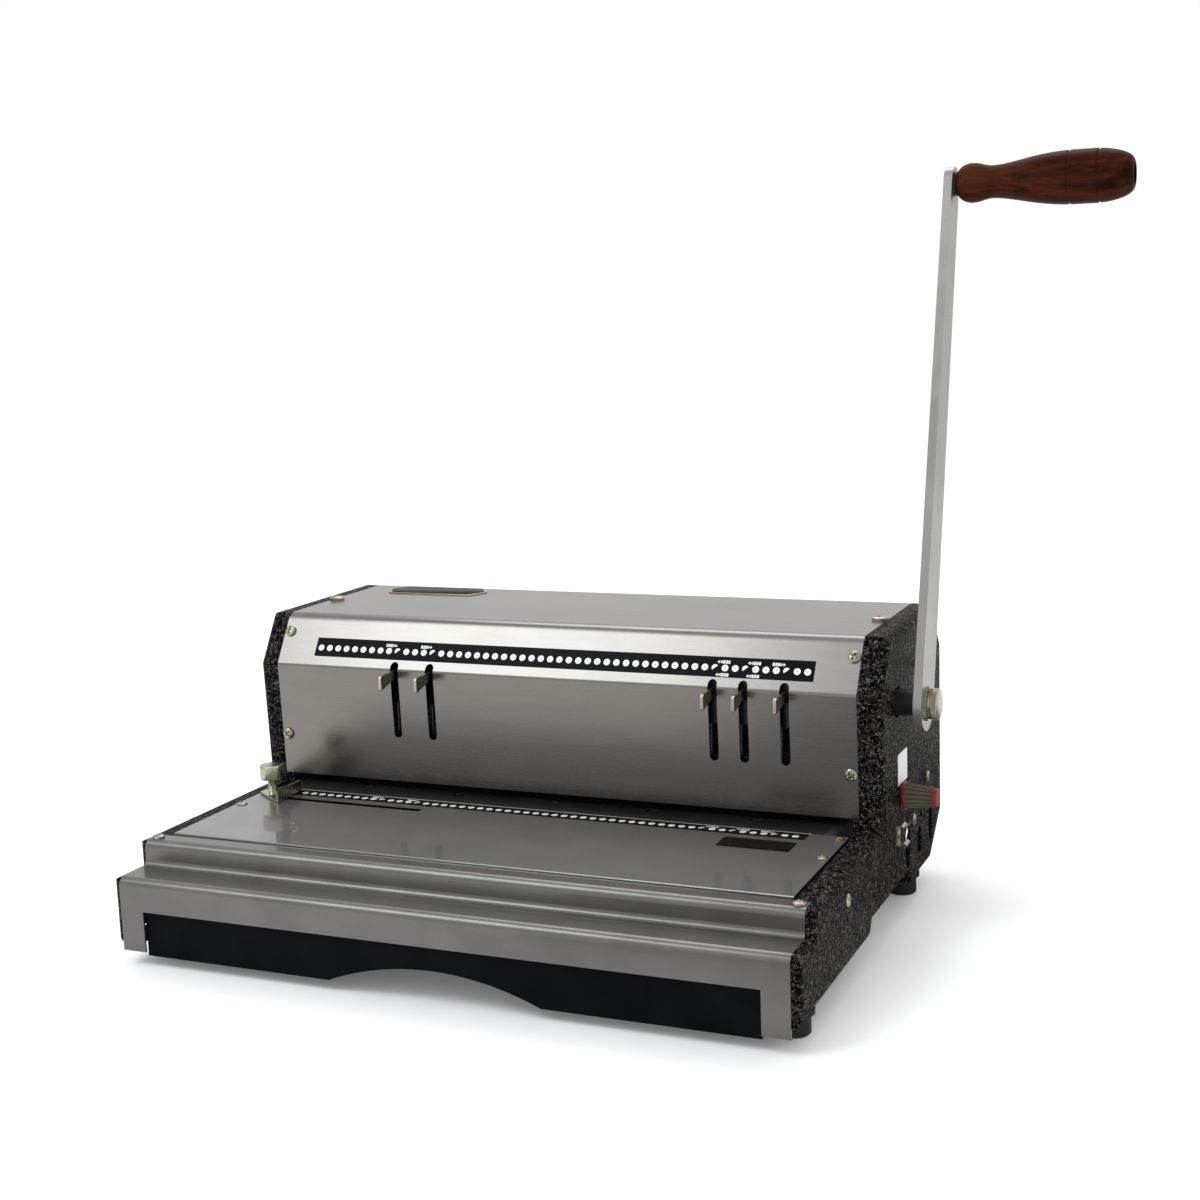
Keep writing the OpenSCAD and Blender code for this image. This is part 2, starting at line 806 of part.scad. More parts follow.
module die_screws() {
    color("#c9ccd0") for (x = die_screw_x) translate([x, apron_y + die_screw_d, table_z - head_h - head_sink])
        screw(3.5);
}

module side_screws() {
    color("#d6d3c8") both_sides() for (at = tie_bars_at)
        translate([half_w, apron_y + at[0], at[1]]) rotate([0, 90, 0]) screw(12);
}

// Tool clip and peg on the right side plate

clip_out = 5;
clip_h = 13;
clip_w = 9;
clip_t = 0.9;
clip_nip = 1.3;
clip_lip = 1.6;
rivet_r = 2.6;
rivet_h = 1.2;

// One arm of the clip in distance from the plate and height, nipped in before its flared lip
module clip_arm() {
    top = clip_h / 2;
    polygon([[0, top], [clip_out - clip_nip, top], [clip_out, top - clip_nip],
        [clip_out + clip_lip, top], [clip_out + clip_lip, top - clip_t * 1.4],
        [clip_out, top - clip_nip - clip_t * 1.4], [clip_out - clip_nip - clip_t / 2, top - clip_t],
        [0, top - clip_t]]);
}

// Spring clip bent from strip, riveted to the plate
module tool_clip() {
    color("#d6d3c8") translate([half_w, apron_y + clip_at[0], clip_at[1]]) {
        translate([0, clip_w / 2, 0]) rotate([90, 0, 0]) linear_extrude(clip_w) {
            translate([0, -clip_h / 2]) square([clip_t, clip_h]);
            clip_arm();
            mirror([0, 1]) clip_arm();
        }
        translate([clip_t - head_sink, 0, 0]) rotate([0, 90, 0])
            screw(plate_t + clip_t + 2, rivet_r, rivet_h);
    }
}

peg_out = 2.2;
peg_head_r = 3.5;
peg_head_h = 2.6;

// Round-headed peg that the tool hangs on
module tool_peg() {
    color("#d6d3c8") translate([half_w + peg_out, apron_y + peg_at[0], peg_at[1]]) rotate([0, 90, 0])
        screw(peg_out + plate_t + 2, peg_head_r, peg_head_h);
}

// Punch bar with its pins and levers

hook_slot = 0.3;
notch_h = crank_pin_r + crank_play;

module punch_bar() {
    top = bar_z + bar_h;
    color("#8d9094") difference() {
        across(-bar_half, 2 * bar_half)
            polygon([[bar_front, bar_z], [bar_back, bar_z], [bar_back, top], [bar_front + 8, top],
                [bar_front, top - 9]]);
        pin_row(bar_z - 1, 9, pin_dia / 2 + run_fit);
        for (i = lever_pins) {
            post(pin_x(i), pin_d, bar_z - 1, pin_dia / 2 + run_fit, hook_z - bar_z + 1.5);
            block(pin_x(i) - hook_t / 2 - hook_slot, bar_front - 1, hook_z - hook_slot,
                [hook_t + 2 * hook_slot, 30, hook_h + 2 * hook_slot]);
        }
        for (k = [-1, 1]) post(k * post_x, post_d, bar_z - 1, post_dia / 2 + run_fit, bar_h + 2);
        for (x = [-bar_half - 1, bar_half - 11.5])
            block(x, bar_front - 1, crank_pin_z - notch_h, [12.5, 30, 2 * notch_h]);
    }
}

module punch_pins() {
    color("#c9ccd0") for (i = [-(pin_count - 1) / 2:(pin_count - 1) / 2]) {
        top = len(search(i, lever_pins)) > 0 ? hook_z - hook_slot : bar_z + 7.8;
        post(pin_x(i), pin_d, tip_z, pin_dia / 2, top - tip_z);
    }
}

// Flat blade through the bar, with a narrow neck at the cover and a tall round-cornered tip
module pin_lever(i) {
    inner = pin_d + 12;
    outer = fold_d - hook_out;
    high = hook_z + hook_h;
    low = hook_z - 1;
    neck_z = high - 0.6 * hook_h;
    top_round = 2.2;
    low_round = 0.8;
    color("#c8c3b4") across(pin_x(i) - hook_t / 2, hook_t)
        polygon(concat([[inner, hook_z], [inner, high]],
            corner([outer + top_round, high - top_round], top_round, 90),
            corner([outer + low_round, low + low_round], low_round, 180),
            [[fold_d - 0.5, neck_z], [fold_d + 3, neck_z], [bar_front - 1.5, hook_z]]));
}
module pin_lever_1() pin_lever(lever_pins[0]);
module pin_lever_2() pin_lever(lever_pins[1]);
module pin_lever_3() pin_lever(lever_pins[2]);
module pin_lever_4() pin_lever(lever_pins[3]);
module pin_lever_5() pin_lever(lever_pins[4]);

// Drive shaft, cranks and lever

bolt_r = 3;
bolt_depth = 16;
bolt_head_r = 8.5;
bolt_head_t = 4;
washer_r = 10;

module drive_shaft() {
    start = -frame_x - frame_t - bush_flange_t - 2;
    color("#1f1f21") difference() {
        union() {
            cross_bar(start, lever_x - start, shaft_d, shaft_z, shaft_dia / 2);
            cross_bar(lever_x, lever_t - 0.2, shaft_d, shaft_z, spigot_r);
        }
        cross_bar(lever_x + lever_t - bolt_depth, far, shaft_d, shaft_z, bolt_r + run_fit);
    }
}

module cranks() {
    hub_r = shaft_dia / 2 + 5;
    pin_len = 11;
    arm_w = 10;
    boss_r = 7;
    color("#8d9094") both_sides() difference() {
        union() {
            cross_bar(crank_x, crank_t, shaft_d, shaft_z, hub_r);
            cross_bar(crank_x, crank_t, crank_pin_d, crank_pin_z, boss_r);
            translate([crank_x, apron_y + shaft_d, shaft_z]) rotate([-45, 0, 0])
                translate([1, -crank_r, -arm_w / 2]) cube([crank_t - 2, crank_r - shaft_dia / 2 - 1, arm_w]);
            cross_bar(crank_x - pin_len, pin_len + crank_t / 2, crank_pin_d, crank_pin_z, crank_pin_r);
        }
        cross_bar(crank_x - 1, crank_t + 2, shaft_d, shaft_z, shaft_dia / 2 + run_fit);
    }
}

// Tapered bar with round ends, tangent to both
module lever_outline() {
    r0 = lever_w / 2;
    r1 = lever_tip_w / 2;
    lean = asin((r0 - r1) / lever_len);
    circle(r = r0);
    translate([0, lever_len]) circle(r = r1);
    polygon([r0 * [cos(lean), sin(lean)], [0, lever_len] + r1 * [cos(lean), sin(lean)],
        [0, lever_len] + r1 * [-cos(lean), sin(lean)], r0 * [-cos(lean), sin(lean)]]);
}

module lever_bar() {
    color("#b4b5b6") difference() {
        translate([0, shaft_d, shaft_z] + [0, apron_y, 0]) rotate([-lever_lean, 0, 0])
            translate([lever_x, 0, 0]) rotate([90, 0, 90]) linear_extrude(lever_t) lever_outline();
        cross_bar(lever_x - 1, lever_t + 2, shaft_d, shaft_z, spigot_r + run_fit);
        cross_bar(lever_x - 1, lever_t + 2, grip_y, grip_z, spindle_r + run_fit);
    }
}

module lever_washer() {
    color("#d6d3c8") difference() {
        cross_bar(lever_x + lever_t, washer_t, shaft_d, shaft_z, washer_r);
        cross_bar(lever_x, far, shaft_d, shaft_z, bolt_r + run_fit);
    }
}

module lever_bolt() {
    x = lever_x + lever_t + washer_t;
    color("#d6d3c8") translate([x, apron_y + shaft_d, shaft_z]) rotate([0, 90, 0]) rotate_extrude()
        polygon([[0, -bolt_depth], [bolt_r, -bolt_depth], [bolt_r, 0], [bolt_head_r, 0],
            [bolt_head_r, bolt_head_t - 1], [bolt_head_r - 1, bolt_head_t], [0, bolt_head_t]]);
}

spindle_head_r = 6;
spindle_recess = 6;

module grip_spindle() {
    end = grip_x + grip_len - spindle_recess;
    color("#3a3a3c") {
        cross_bar(lever_x - 0.5, end - lever_x + 0.5, grip_y, grip_z, spindle_r);
        cross_bar(end, 3, grip_y, grip_z, spindle_head_r);
    }
}

module grip_washer() {
    color("#1f1f21") difference() {
        cross_bar(lever_x + lever_t, washer_t, grip_y, grip_z, spindle_r + 3);
        cross_bar(lever_x, far, grip_y, grip_z, spindle_r + run_fit);
    }
}

// Turned handle: ball, neck, belly with two grooves and a rounded end
ball_r = 11.5;
neck_r = 9.5;
groove_at = [64.5, 81.5];
groove_r = 1;
neck_at = 20;
belly_at = 60;
end_flat_r = 7.4;
grip_steps = 10;
function blend(a, b, t) = a + (b - a) * s_curve(t);
function grip_profile() =
    let (belly = grip_dia / 2, n = grip_steps, tail = grip_len - 22)
    concat(
        [[7, 0]],
        [for (i = [1:n]) let (a = 150 * i / n) [ball_r * sin(a + 30 * (1 - i / n)), 9 - 9 * cos(a)]],
        [for (i = [0:n]) [blend(neck_r, belly, i / n), neck_at + (belly_at - neck_at) * i / n]],
        [for (i = [0:n]) let (a = 90 * i / n)
            [end_flat_r + (belly - end_flat_r) * cos(a), tail + (grip_len - tail) * sin(a)]]);

module wooden_grip() {
    color("#5a2a1c") translate([grip_x, apron_y + grip_y, grip_z]) rotate([0, 90, 0]) difference() {
        rotate_extrude() polygon(concat([[0, 0]], grip_profile(), [[0, grip_len]]));
        translate([0, 0, -1]) cylinder(r = spindle_r + run_fit, h = grip_len + 2);
        translate([0, 0, grip_len - spindle_recess - seat_gap])
            cylinder(r = spindle_head_r + seat_gap, h = spindle_recess + 1);
        for (z = groove_at) translate([0, 0, z]) rotate_extrude()
            translate([grip_dia / 2 + 0.3, 0]) circle(r = groove_r);
    }
}

// Edge guide on the table

guide_base_t = 1.4;
guide_base_w = 23;
fence_t = 1.7;
fence_h = 7.4;
fence_len = 27;
fence_ahead = 11.4;
fence_right = guide_rest_x + 11.3;
nut_t = 4;
thumb_z = table_z + 12.2;
thumb_h = 9.4;
thumb_edge = 0.8;
thumb_stem = thumb_z - table_z + table_t + nut_t;

// Base with a slanting front, and the fence along its right side
module edge_guide() {
    z = table_z + seat_gap;
    front = guide_d - fence_ahead;
    left = fence_right - guide_base_w;
    color("#c8c3b4") difference() {
        union() {
            translate([0, apron_y, z]) linear_extrude(guide_base_t)
                polygon([[fence_right, front], [fence_right, guide_d + 10], [left, guide_d + 10],
                    [left, guide_d + 3], [fence_right - fence_t, front]]);
            block(fence_right - fence_t, front, z, [fence_t, fence_len, fence_h]);
        }
        post(guide_rest_x, guide_d, z - 1, guide_stem_r + run_fit, guide_base_t + 2);
    }
}

module guide_nut() {
    z = table_z - table_t - seat_gap - nut_t;
    color("#8d9094") difference() {
        block(guide_rest_x - 6, guide_d - 6, z, [12, 12, nut_t]);
        post(guide_rest_x, guide_d, z - 1, guide_stem_r + run_fit, nut_t + 2);
    }
}

module thumbscrew() {
    shank_r = 3;
    shank_z = table_z + guide_base_t + 2 * seat_gap;
    r = thumb_dia / 2;
    color("#c8c3b4") {
        post(guide_rest_x, guide_d, thumb_z - thumb_stem, guide_stem_r, thumb_stem + 1);
        post(guide_rest_x, guide_d, shank_z, shank_r, thumb_z - shank_z + 1);
        translate([guide_rest_x, apron_y + guide_d, thumb_z]) rotate_extrude()
            polygon([[0, 0], [r - thumb_edge, 0], [r, thumb_edge], [r, thumb_h - thumb_edge],
                [r - thumb_edge, thumb_h], [0, thumb_h]]);
    }
}

// Depth knob and gauge

cam_r = 2;
cam_pin_r = 1.2;
cam_t = 4;
cam_disc_r = 6;
cam_x = frame_x + frame_t + 3.5;
collar_t = 1.6;
knob_x = half_w + 2.5;
ring_t = 1.4;
cap_t = 2.8;
cap_edge = 0.6;

module knob_spindle() {
    tip = knob_x + knob_len - cap_t - 0.5;
    color("#2b2b2b") {
        cross_bar(cam_x + cam_t, tip - cam_x - cam_t, knob_d, knob_z, spindle_knob_r);
        cross_bar(cam_x + 2, cam_t - 2 + seat_gap, knob_d, knob_z, cam_disc_r);
        cross_bar(cam_x - 1, 3.5, knob_d, knob_z - cam_r, cam_pin_r);
        difference() {
            cross_bar(half_w + seat_gap, collar_t, knob_d, knob_z, knob_hole_r + 1);
            cross_bar(half_w, 6, knob_d, knob_z, spindle_knob_r - 0.5);
        }
    }
}

// Fluted, slightly tapered body
flutes = 16;
flute_r = 0.9;
knob_taper = 1.9;
knob_tip_r = knob_dia / 2 - knob_taper;
cap_r = knob_tip_r - 0.3;
flute_len = knob_len - ring_t - cap_t;
flute_lean = atan(knob_taper / flute_len);

module knob_body() {
    color("#6f6a66") translate([knob_x + ring_t, apron_y + knob_d, knob_z]) rotate([0, 90, 0]) difference() {
        rotate_extrude() polygon([[0, 0], [knob_dia / 2, 0], [knob_tip_r, flute_len], [0, flute_len]]);
        translate([0, 0, -1]) cylinder(r = spindle_knob_r + run_fit, h = knob_len);
        for (i = [0:flutes - 1]) rotate([0, 0, 360 * i / flutes]) translate([knob_dia / 2 + 0.1, 0, -1])
            rotate([0, -flute_lean, 0]) cylinder(r = flute_r, h = knob_len + 2);
    }
}

module knob_ring() {
    color("#b3202a") difference() {
        cross_bar(knob_x, ring_t, knob_d, knob_z, knob_dia / 2 + 0.6);
        cross_bar(knob_x - 1, ring_t + 2, knob_d, knob_z, spindle_knob_r + run_fit);
    }
}

module knob_cap() {
    x = knob_x + knob_len - cap_t;
    color("#b3202a") translate([x, apron_y + knob_d, knob_z]) rotate([0, 90, 0]) rotate_extrude()
        polygon([[0, 0], [cap_r, 0], [cap_r, cap_t - cap_edge], [cap_r - cap_edge, cap_t], [0, cap_t]]);
}

// Back stop for the paper, with an ear that the knob's cam pin moves
module depth_gauge() {
    ear_t = 2;
    ear_w = 12;
    reach = cam_x + 1 - ear_t;
    color("#4a4d50") difference() {
        union() {
            block(-row_half - 4, gauge_front, gauge_z, [2 * row_half + 8, gauge_back - gauge_front, gauge_h]);
            block(row_half, gauge_back - 8, gauge_z, [reach + ear_t - row_half, 8, gauge_h]);
            block(reach - 1.2, gauge_back - 8, gauge_z, [ear_t, knob_d + ear_w / 2 - gauge_back + 8, 12]);
        }
        block(reach - 3, knob_d - cam_pin_r - seat_gap, knob_z - cam_r - cam_pin_r - 2,
            [6, 2 * (cam_pin_r + seat_gap), 20]);
    }
}

side_plate_left();
side_plate_right();
front_apron();
punch_table();
head_cover();
rear_cover();
inner_frame_left();
inner_frame_right();
die_plate();
pin_guide_plate();
guide_posts();
shaft_bushes();
tie_bars();
drawer_rails();
rubber_feet();
foot_screws();
cover_screws();
table_screws();
apron_screws();
die_screws();
side_screws();
tool_clip();
tool_peg();
return_springs();
punch_bar();
punch_pins();
pin_lever_1();
pin_lever_2();
pin_lever_3();
pin_lever_4();
pin_lever_5();
drive_shaft();
cranks();
lever_bar();
lever_washer();
lever_bolt();
grip_spindle();
grip_washer();
wooden_grip();
edge_guide();
guide_nut();
thumbscrew();
knob_spindle();
knob_body();
knob_ring();
knob_cap();
depth_gauge();
drawer_front();
drawer_tray();
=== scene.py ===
"""Looks of a desk punch for coil binding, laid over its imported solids.

Sizes are in millimetres, apart from those of the studio and the finishes, which are in metres. X runs
to the right, Y to the back and Z up from the desk. A depth is measured back from the front apron's face.
"""
import logging
import math
from dataclasses import dataclass, field
from enum import Enum
from functools import cache

import bmesh
import bpy
import numpy as np
from mathutils import Matrix, Vector


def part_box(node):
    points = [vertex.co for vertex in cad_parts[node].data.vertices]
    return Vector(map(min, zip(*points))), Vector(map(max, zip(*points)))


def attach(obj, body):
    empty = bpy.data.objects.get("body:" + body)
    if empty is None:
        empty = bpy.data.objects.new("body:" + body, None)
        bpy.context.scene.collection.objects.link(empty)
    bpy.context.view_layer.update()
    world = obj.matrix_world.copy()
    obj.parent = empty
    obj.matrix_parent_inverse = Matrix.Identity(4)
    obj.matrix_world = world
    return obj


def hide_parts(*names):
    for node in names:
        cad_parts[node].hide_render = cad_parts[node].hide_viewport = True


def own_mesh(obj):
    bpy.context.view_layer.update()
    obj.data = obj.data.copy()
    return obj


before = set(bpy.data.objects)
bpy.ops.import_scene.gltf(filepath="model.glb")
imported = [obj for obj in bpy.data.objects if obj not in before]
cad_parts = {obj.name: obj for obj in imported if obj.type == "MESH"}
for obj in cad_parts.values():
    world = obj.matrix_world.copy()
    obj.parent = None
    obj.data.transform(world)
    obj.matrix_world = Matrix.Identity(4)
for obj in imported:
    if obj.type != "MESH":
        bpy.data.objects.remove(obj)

LOG = logging.getLogger("coil_punch")
MM = 0.001  # metres in a millimetre
APRON_Y = -145.0  # where depth 0 lies on Y, in millimetres
WELD = 2e-6  # points closer than this, in metres, become one
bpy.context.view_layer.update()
RIGHT, BACK, UP, DOWN, AHEAD = (1, 0, 0), (0, 1, 0), (0, 0, 1), (0, 0, -1), (0, -1, 0)

Colour = tuple[float, float, float]
Triple = tuple[float, float, float]
Pair = tuple[float, float]


# Surfaces as whole arrays

@dataclass
class Surface:
    """A mesh as arrays: points in millimetres, and faces as blocks of index rows."""

    points: np.ndarray
    faces: list[np.ndarray]

    def placed(self, origin: Triple, across: Triple, up: Triple) -> "Surface":
        """The surface with its own X laid along one direction and its own Z along another.

        Args:
            origin: where the surface's own origin goes, as X, depth and height.
            across: direction of its own X axis, in the frame.
            up: direction of its own Z axis, in the frame.
        Returns:
            The surface in the frame, in millimetres.
        """
        ex = np.array(across, float) / np.linalg.norm(across)
        ez = np.array(up, float) / np.linalg.norm(up)
        axes = np.stack([ex, np.cross(ez, ex), ez])
        base = np.array([origin[0], origin[1] + APRON_Y, origin[2]])
        return Surface(self.points @ axes + base, self.faces)


def joined(parts: list[Surface]) -> Surface:
    """Several surfaces as one.

    Args:
        parts: the surfaces.
    Returns:
        One surface with all their points and faces.
    """
    starts = np.cumsum([0] + [len(p.points) for p in parts])
    faces = [block + start for p, start in zip(parts, starts) for block in p.faces]
    return Surface(np.concatenate([p.points for p in parts]), faces)


def grid_faces(rows: int, cols: int, closed: bool = False) -> np.ndarray:
    """Quads between neighbouring points of a grid that is numbered row by row.

    Args:
        rows: number of rows.
        cols: number of points in a row.
        closed: whether a row's last point joins its first.
    Returns:
        Index rows of four, which turn from a row's direction towards the next row.
    """
    r, c = np.meshgrid(np.arange(rows - 1), np.arange(cols if closed else cols - 1), indexing="ij")
    nxt = (c + 1) % cols
    quads = np.stack([r * cols + c, r * cols + nxt, (r + 1) * cols + nxt, (r + 1) * cols + c], -1)
    return quads.reshape(-1, 4)


def lathe(profile: np.ndarray, turns: int = 64, wave: np.ndarray | None = None) -> Surface:
    """A profile turned round its own Z axis.

    A point is (r cos a, r sin a, z) with r and z from the profile and a round the circle.

    Args:
        profile: rows of radius and height, from the low end to the high one.
        turns: number of steps round the axis.
        wave: radii added at each row and step, or nothing.
    Returns:
        The turned surface.
    """
    angle = np.linspace(0, 2 * math.pi, turns, endpoint=False)
    radius = np.repeat(profile[:, :1], turns, 1) + (0 if wave is None else wave)
    points = np.stack([radius * np.cos(angle), radius * np.sin(angle),
                       np.repeat(profile[:, 1:2], turns, 1)], -1)
    return Surface(points.reshape(-1, 3), [grid_faces(len(profile), turns, True)])


def rounded_outline(width: float, length: float, radius: float, steps: int = 6) -> np.ndarray:
    """A rectangle with round corners, counter-clockwise.

    Each corner is a quarter circle about its own centre, and the four join by straight sides.

    Args:
        width: size along X.
        length: size along Y.
        radius: corner radius.
        steps: points on a corner, less one.
    Returns:
        Rows of X and Y.
    """
    angle = np.linspace(0, math.pi / 2, steps + 1)[None] + np.arange(4)[:, None] * math.pi / 2
    sign = np.array([[1, 1], [-1, 1], [-1, -1], [1, -1]])
    centre = sign * np.array([width / 2 - radius, length / 2 - radius])
    points = centre[:, None] + radius * np.stack([np.cos(angle), np.sin(angle)], -1)
    return points.reshape(-1, 2)


def slab(outline: np.ndarray, inner: np.ndarray, thick: float, edge: float) -> Surface:
    """A flat plate with a small sloped edge: one outline carried up, then drawn in to a second.

    Args:
        outline: rows of X and Y of the lower face, counter-clockwise.
        inner: the same points on the upper face.
        thick: thickness of the plate.
        edge: height of the sloped edge.
    Returns:
        A closed surface from height 0 to the thickness.
    """
    n = len(outline)
    rings = [(outline, 0.0), (outline, thick - edge), (inner, thick)]
    points = np.concatenate([np.c_[o, np.full(n, z)] for o, z in rings])
    floor = np.arange(n)[::-1][None]
    return Surface(points, [grid_faces(3, n, True), floor, np.arange(n)[None] + 2 * n])


def rounded_slab(width: float, length: float, radius: float, thick: float, edge: float) -> Surface:
    """A flat plate with round corners and a sloped edge.

    Args:
        width: size along X.
        length: size along Y.
        radius: corner radius.
        thick: thickness.
        edge: width and height of the sloped edge.
    Returns:
        A closed surface.
    """
    inner = rounded_outline(width - 2 * edge, length - 2 * edge, max(radius - edge, 0.01))
    return slab(rounded_outline(width, length, radius), inner, thick, edge)


def cross_recess(u: np.ndarray, v: np.ndarray, reach: float, half: float) -> np.ndarray:
    """Depth of a cross recess, from 0 to 1.

    Each arm is a smooth step in its width times a smooth step in its length; the deeper arm counts.

    Args:
        u: distances along one arm.
        v: distances along the other.
        reach: length of an arm from the middle.
        half: half the width of an arm.
    Returns:
        Depths of the same shape.
    """
    side_slope, end_slope = 0.35 * half, 0.45 * reach

    def arm(a: np.ndarray, b: np.ndarray) -> np.ndarray:
        """Depth of the arm that lies along the first distance."""
        wide = np.clip((half - np.abs(b)) / side_slope + 0.5, 0, 1)
        long = np.clip((reach - np.abs(a)) / end_slope, 0, 1)
        return wide * long

    return np.maximum(arm(u, v), arm(v, u))


def pan_screw(head: float, high: float, shank: float, length: float, turn: float) -> Surface:
    """A pan-head screw with a cross recess, standing on height 0 with its shank below.

    The top is a square grid drawn onto a disc, x = u sqrt(1 - v v / 2), and the like for y, raised as
    a dome that falls with the fourth power of r and lowered by the recess. The rim and the shank are
    turned.

    Args:
        head: head diameter.
        high: head height.
        shank: shank diameter.
        length: shank length.
        turn: turn of the recess, in degrees.
    Returns:
        The screw, closed.
    """
    rim_share, sink_share, arm_reach, arm_half = 0.55, 0.75, 0.62, 0.13
    near_arm = np.array([0.06, arm_half, 0.2])
    line = np.unique(np.concatenate([np.linspace(-1, 1, 19), -near_arm, near_arm]))
    u, v = np.meshgrid(line, line, indexing="ij")
    x, y = u * np.sqrt(1 - v * v / 2), v * np.sqrt(1 - u * u / 2)
    r = np.hypot(x, y)
    dome = high * (rim_share + (1 - rim_share) * (1 - r ** 4))
    z = dome - sink_share * high * cross_recess(x, y, arm_reach, arm_half)
    c, s = math.cos(math.radians(turn)), math.sin(math.radians(turn))
    top = np.stack([head / 2 * (c * x - s * y), head / 2 * (s * x + c * y), z], -1)
    n = len(line)
    rim = np.concatenate([np.arange(n) * n, (n - 1) * n + np.arange(1, n),
                          np.arange(n - 2, -1, -1) * n + n - 1, np.arange(n - 2, 0, -1)])
    edge = top.reshape(-1, 3)[rim]
    low = edge * [1, 1, 0]
    m = len(rim)
    wall = Surface(np.concatenate([low, edge]), [grid_faces(2, m, True), np.arange(m)[::-1][None]])
    stem = lathe(np.array([[0, -length], [shank / 2, -length], [shank / 2, 0], [0, 0]]), turns=16)
    return joined([Surface(top.reshape(-1, 3), [grid_faces(n, n)]), wall, stem])


# Finishes

class Effect(Enum):
    """The surface effects, each one a shader node group of that name."""

    HAMMERTONE = "Hammertone"
    BRUSHED = "Brushed grain"
    GRAINED = "Fine grain"
    WOOD = "Oiled wood"


@dataclass
class GroupMaker:
    """Builds the node group of an effect: a vector in, a mask, a roughness and a height out."""

    effect: Effect
    tree: bpy.types.NodeTree = field(init=False)
    vector: bpy.types.NodeSocket = field(init=False)

    def noise(self, scale: Triple, detail: float, rough: float, warp: float = 0.0) -> bpy.types.NodeSocket:
        """Noise over the incoming vector.

        Args:
            scale: factors on the incoming X, Y and Z.
            detail: octaves.
            rough: strength of the finer octaves.
            warp: distortion.
        Returns:
            The noise value.
        """
        stretch = self.tree.nodes.new("ShaderNodeVectorMath")
        stretch.operation = "MULTIPLY"
        stretch.inputs[1].default_value = scale
        texture = self.tree.nodes.new("ShaderNodeTexNoise")
        for name, value in (("Scale", 1.0), ("Detail", detail), ("Roughness", rough), ("Distortion", warp)):
            texture.inputs[name].default_value = value
        self.tree.links.new(self.vector, stretch.inputs[0])
        self.tree.links.new(stretch.outputs[0], texture.inputs["Vector"])
        return texture.outputs["Fac"]

    def span(self, value: bpy.types.NodeSocket, low: float, high: float) -> bpy.types.NodeSocket:
        """The value stretched so that low becomes 0 and high becomes 1, smoothly."""
        node = self.tree.nodes.new("ShaderNodeMapRange")
        node.interpolation_type = "SMOOTHSTEP"
        node.inputs["From Min"].default_value = low
        node.inputs["From Max"].default_value = high
        self.tree.links.new(value, node.inputs["Value"])
        return node.outputs["Result"]

    def math(self, kind: str, a: bpy.types.NodeSocket,
             b: bpy.types.NodeSocket | float) -> bpy.types.NodeSocket:
        """A sum, product or other step of two values.

        Args:
            kind: the operation.
            a: first value.
            b: second value, or a number.
        Returns:
            The result.
        """
        node = self.tree.nodes.new("ShaderNodeMath")
        node.operation = kind
        self.tree.links.new(a, node.inputs[0])
        if isinstance(b, (int, float)):
            node.inputs[1].default_value = b
        else:
            self.tree.links.new(b, node.inputs[1])
        return node.outputs[0]

    def make(self) -> bpy.types.NodeTree:
        """The group, built once.

        Returns:
            The node group.
        """
        made = bpy.data.node_groups.get(self.effect.value)
        if made:
            return made
        self.tree = bpy.data.node_groups.new(self.effect.value, "ShaderNodeTree")
        self.tree.interface.new_socket("Vector", in_out="INPUT", socket_type="NodeSocketVector")
        for name in ("Mask", "Rough", "Height"):
            self.tree.interface.new_socket(name, in_out="OUTPUT", socket_type="NodeSocketFloat")
        start = self.tree.nodes.new("NodeGroupInput")
        end = self.tree.nodes.new("NodeGroupOutput")
        self.vector = start.outputs["Vector"]
        parts = {Effect.HAMMERTONE: self.hammertone, Effect.BRUSHED: self.brushed,
                 Effect.GRAINED: self.grained, Effect.WOOD: self.wood}[self.effect]()
        for name, value in zip(("Mask", "Rough", "Height"), parts):
            self.tree.links.new(value, end.inputs[name])
        return self.tree

    def hammertone(self) -> tuple[bpy.types.NodeSocket, ...]:
        """Irregular silvery flecks of one to three millimetres on a dark coat with wider, duller dimples."""
        flecks = self.noise((1.0, 0.6, 1.0), detail=3.0, rough=0.62, warp=1.1)
        fine = self.noise((2.3, 1.4, 2.3), detail=2.0, rough=0.55, warp=0.4)
        dimples = self.noise((0.38, 0.38, 0.38), detail=2.0, rough=0.5, warp=0.6)
        sharp = self.math("MULTIPLY", self.span(flecks, 0.53, 0.61), self.span(fine, 0.38, 0.56))
        dull = self.math("MULTIPLY", self.span(dimples, 0.50, 0.62), 0.10)
        relief = self.math("ADD", flecks, self.math("MULTIPLY", dimples, 1.6))
        return self.math("MAXIMUM", sharp, dull), self.span(fine, 0.3, 0.7), relief

    def brushed(self) -> tuple[bpy.types.NodeSocket, ...]:
        """Long fine lines along X with wide, faint smudges."""
        lines = self.noise((0.012, 2.2, 2.2), detail=3.0, rough=0.65)
        broad = self.noise((0.05, 0.35, 0.35), detail=2.0, rough=0.5)
        smudge = self.noise((0.02, 0.02, 0.02), detail=3.0, rough=0.5, warp=0.4)
        mask = self.span(self.math("ADD", self.math("MULTIPLY", lines, 0.6),
                                   self.math("MULTIPLY", broad, 0.4)), 0.3, 0.7)
        rough = self.span(self.math("ADD", self.math("MULTIPLY", lines, 0.5),
                                    self.math("MULTIPLY", smudge, 0.5)), 0.3, 0.7)
        return mask, rough, lines

    def grained(self) -> tuple[bpy.types.NodeSocket, ...]:
        """A fine even grain with slow changes of tone."""
        fine = self.noise((1.0, 1.0, 1.0), detail=2.0, rough=0.6)
        slow = self.noise((0.02, 0.02, 0.02), detail=3.0, rough=0.55, warp=0.3)
        return self.span(slow, 0.3, 0.7), self.span(fine, 0.3, 0.7), fine

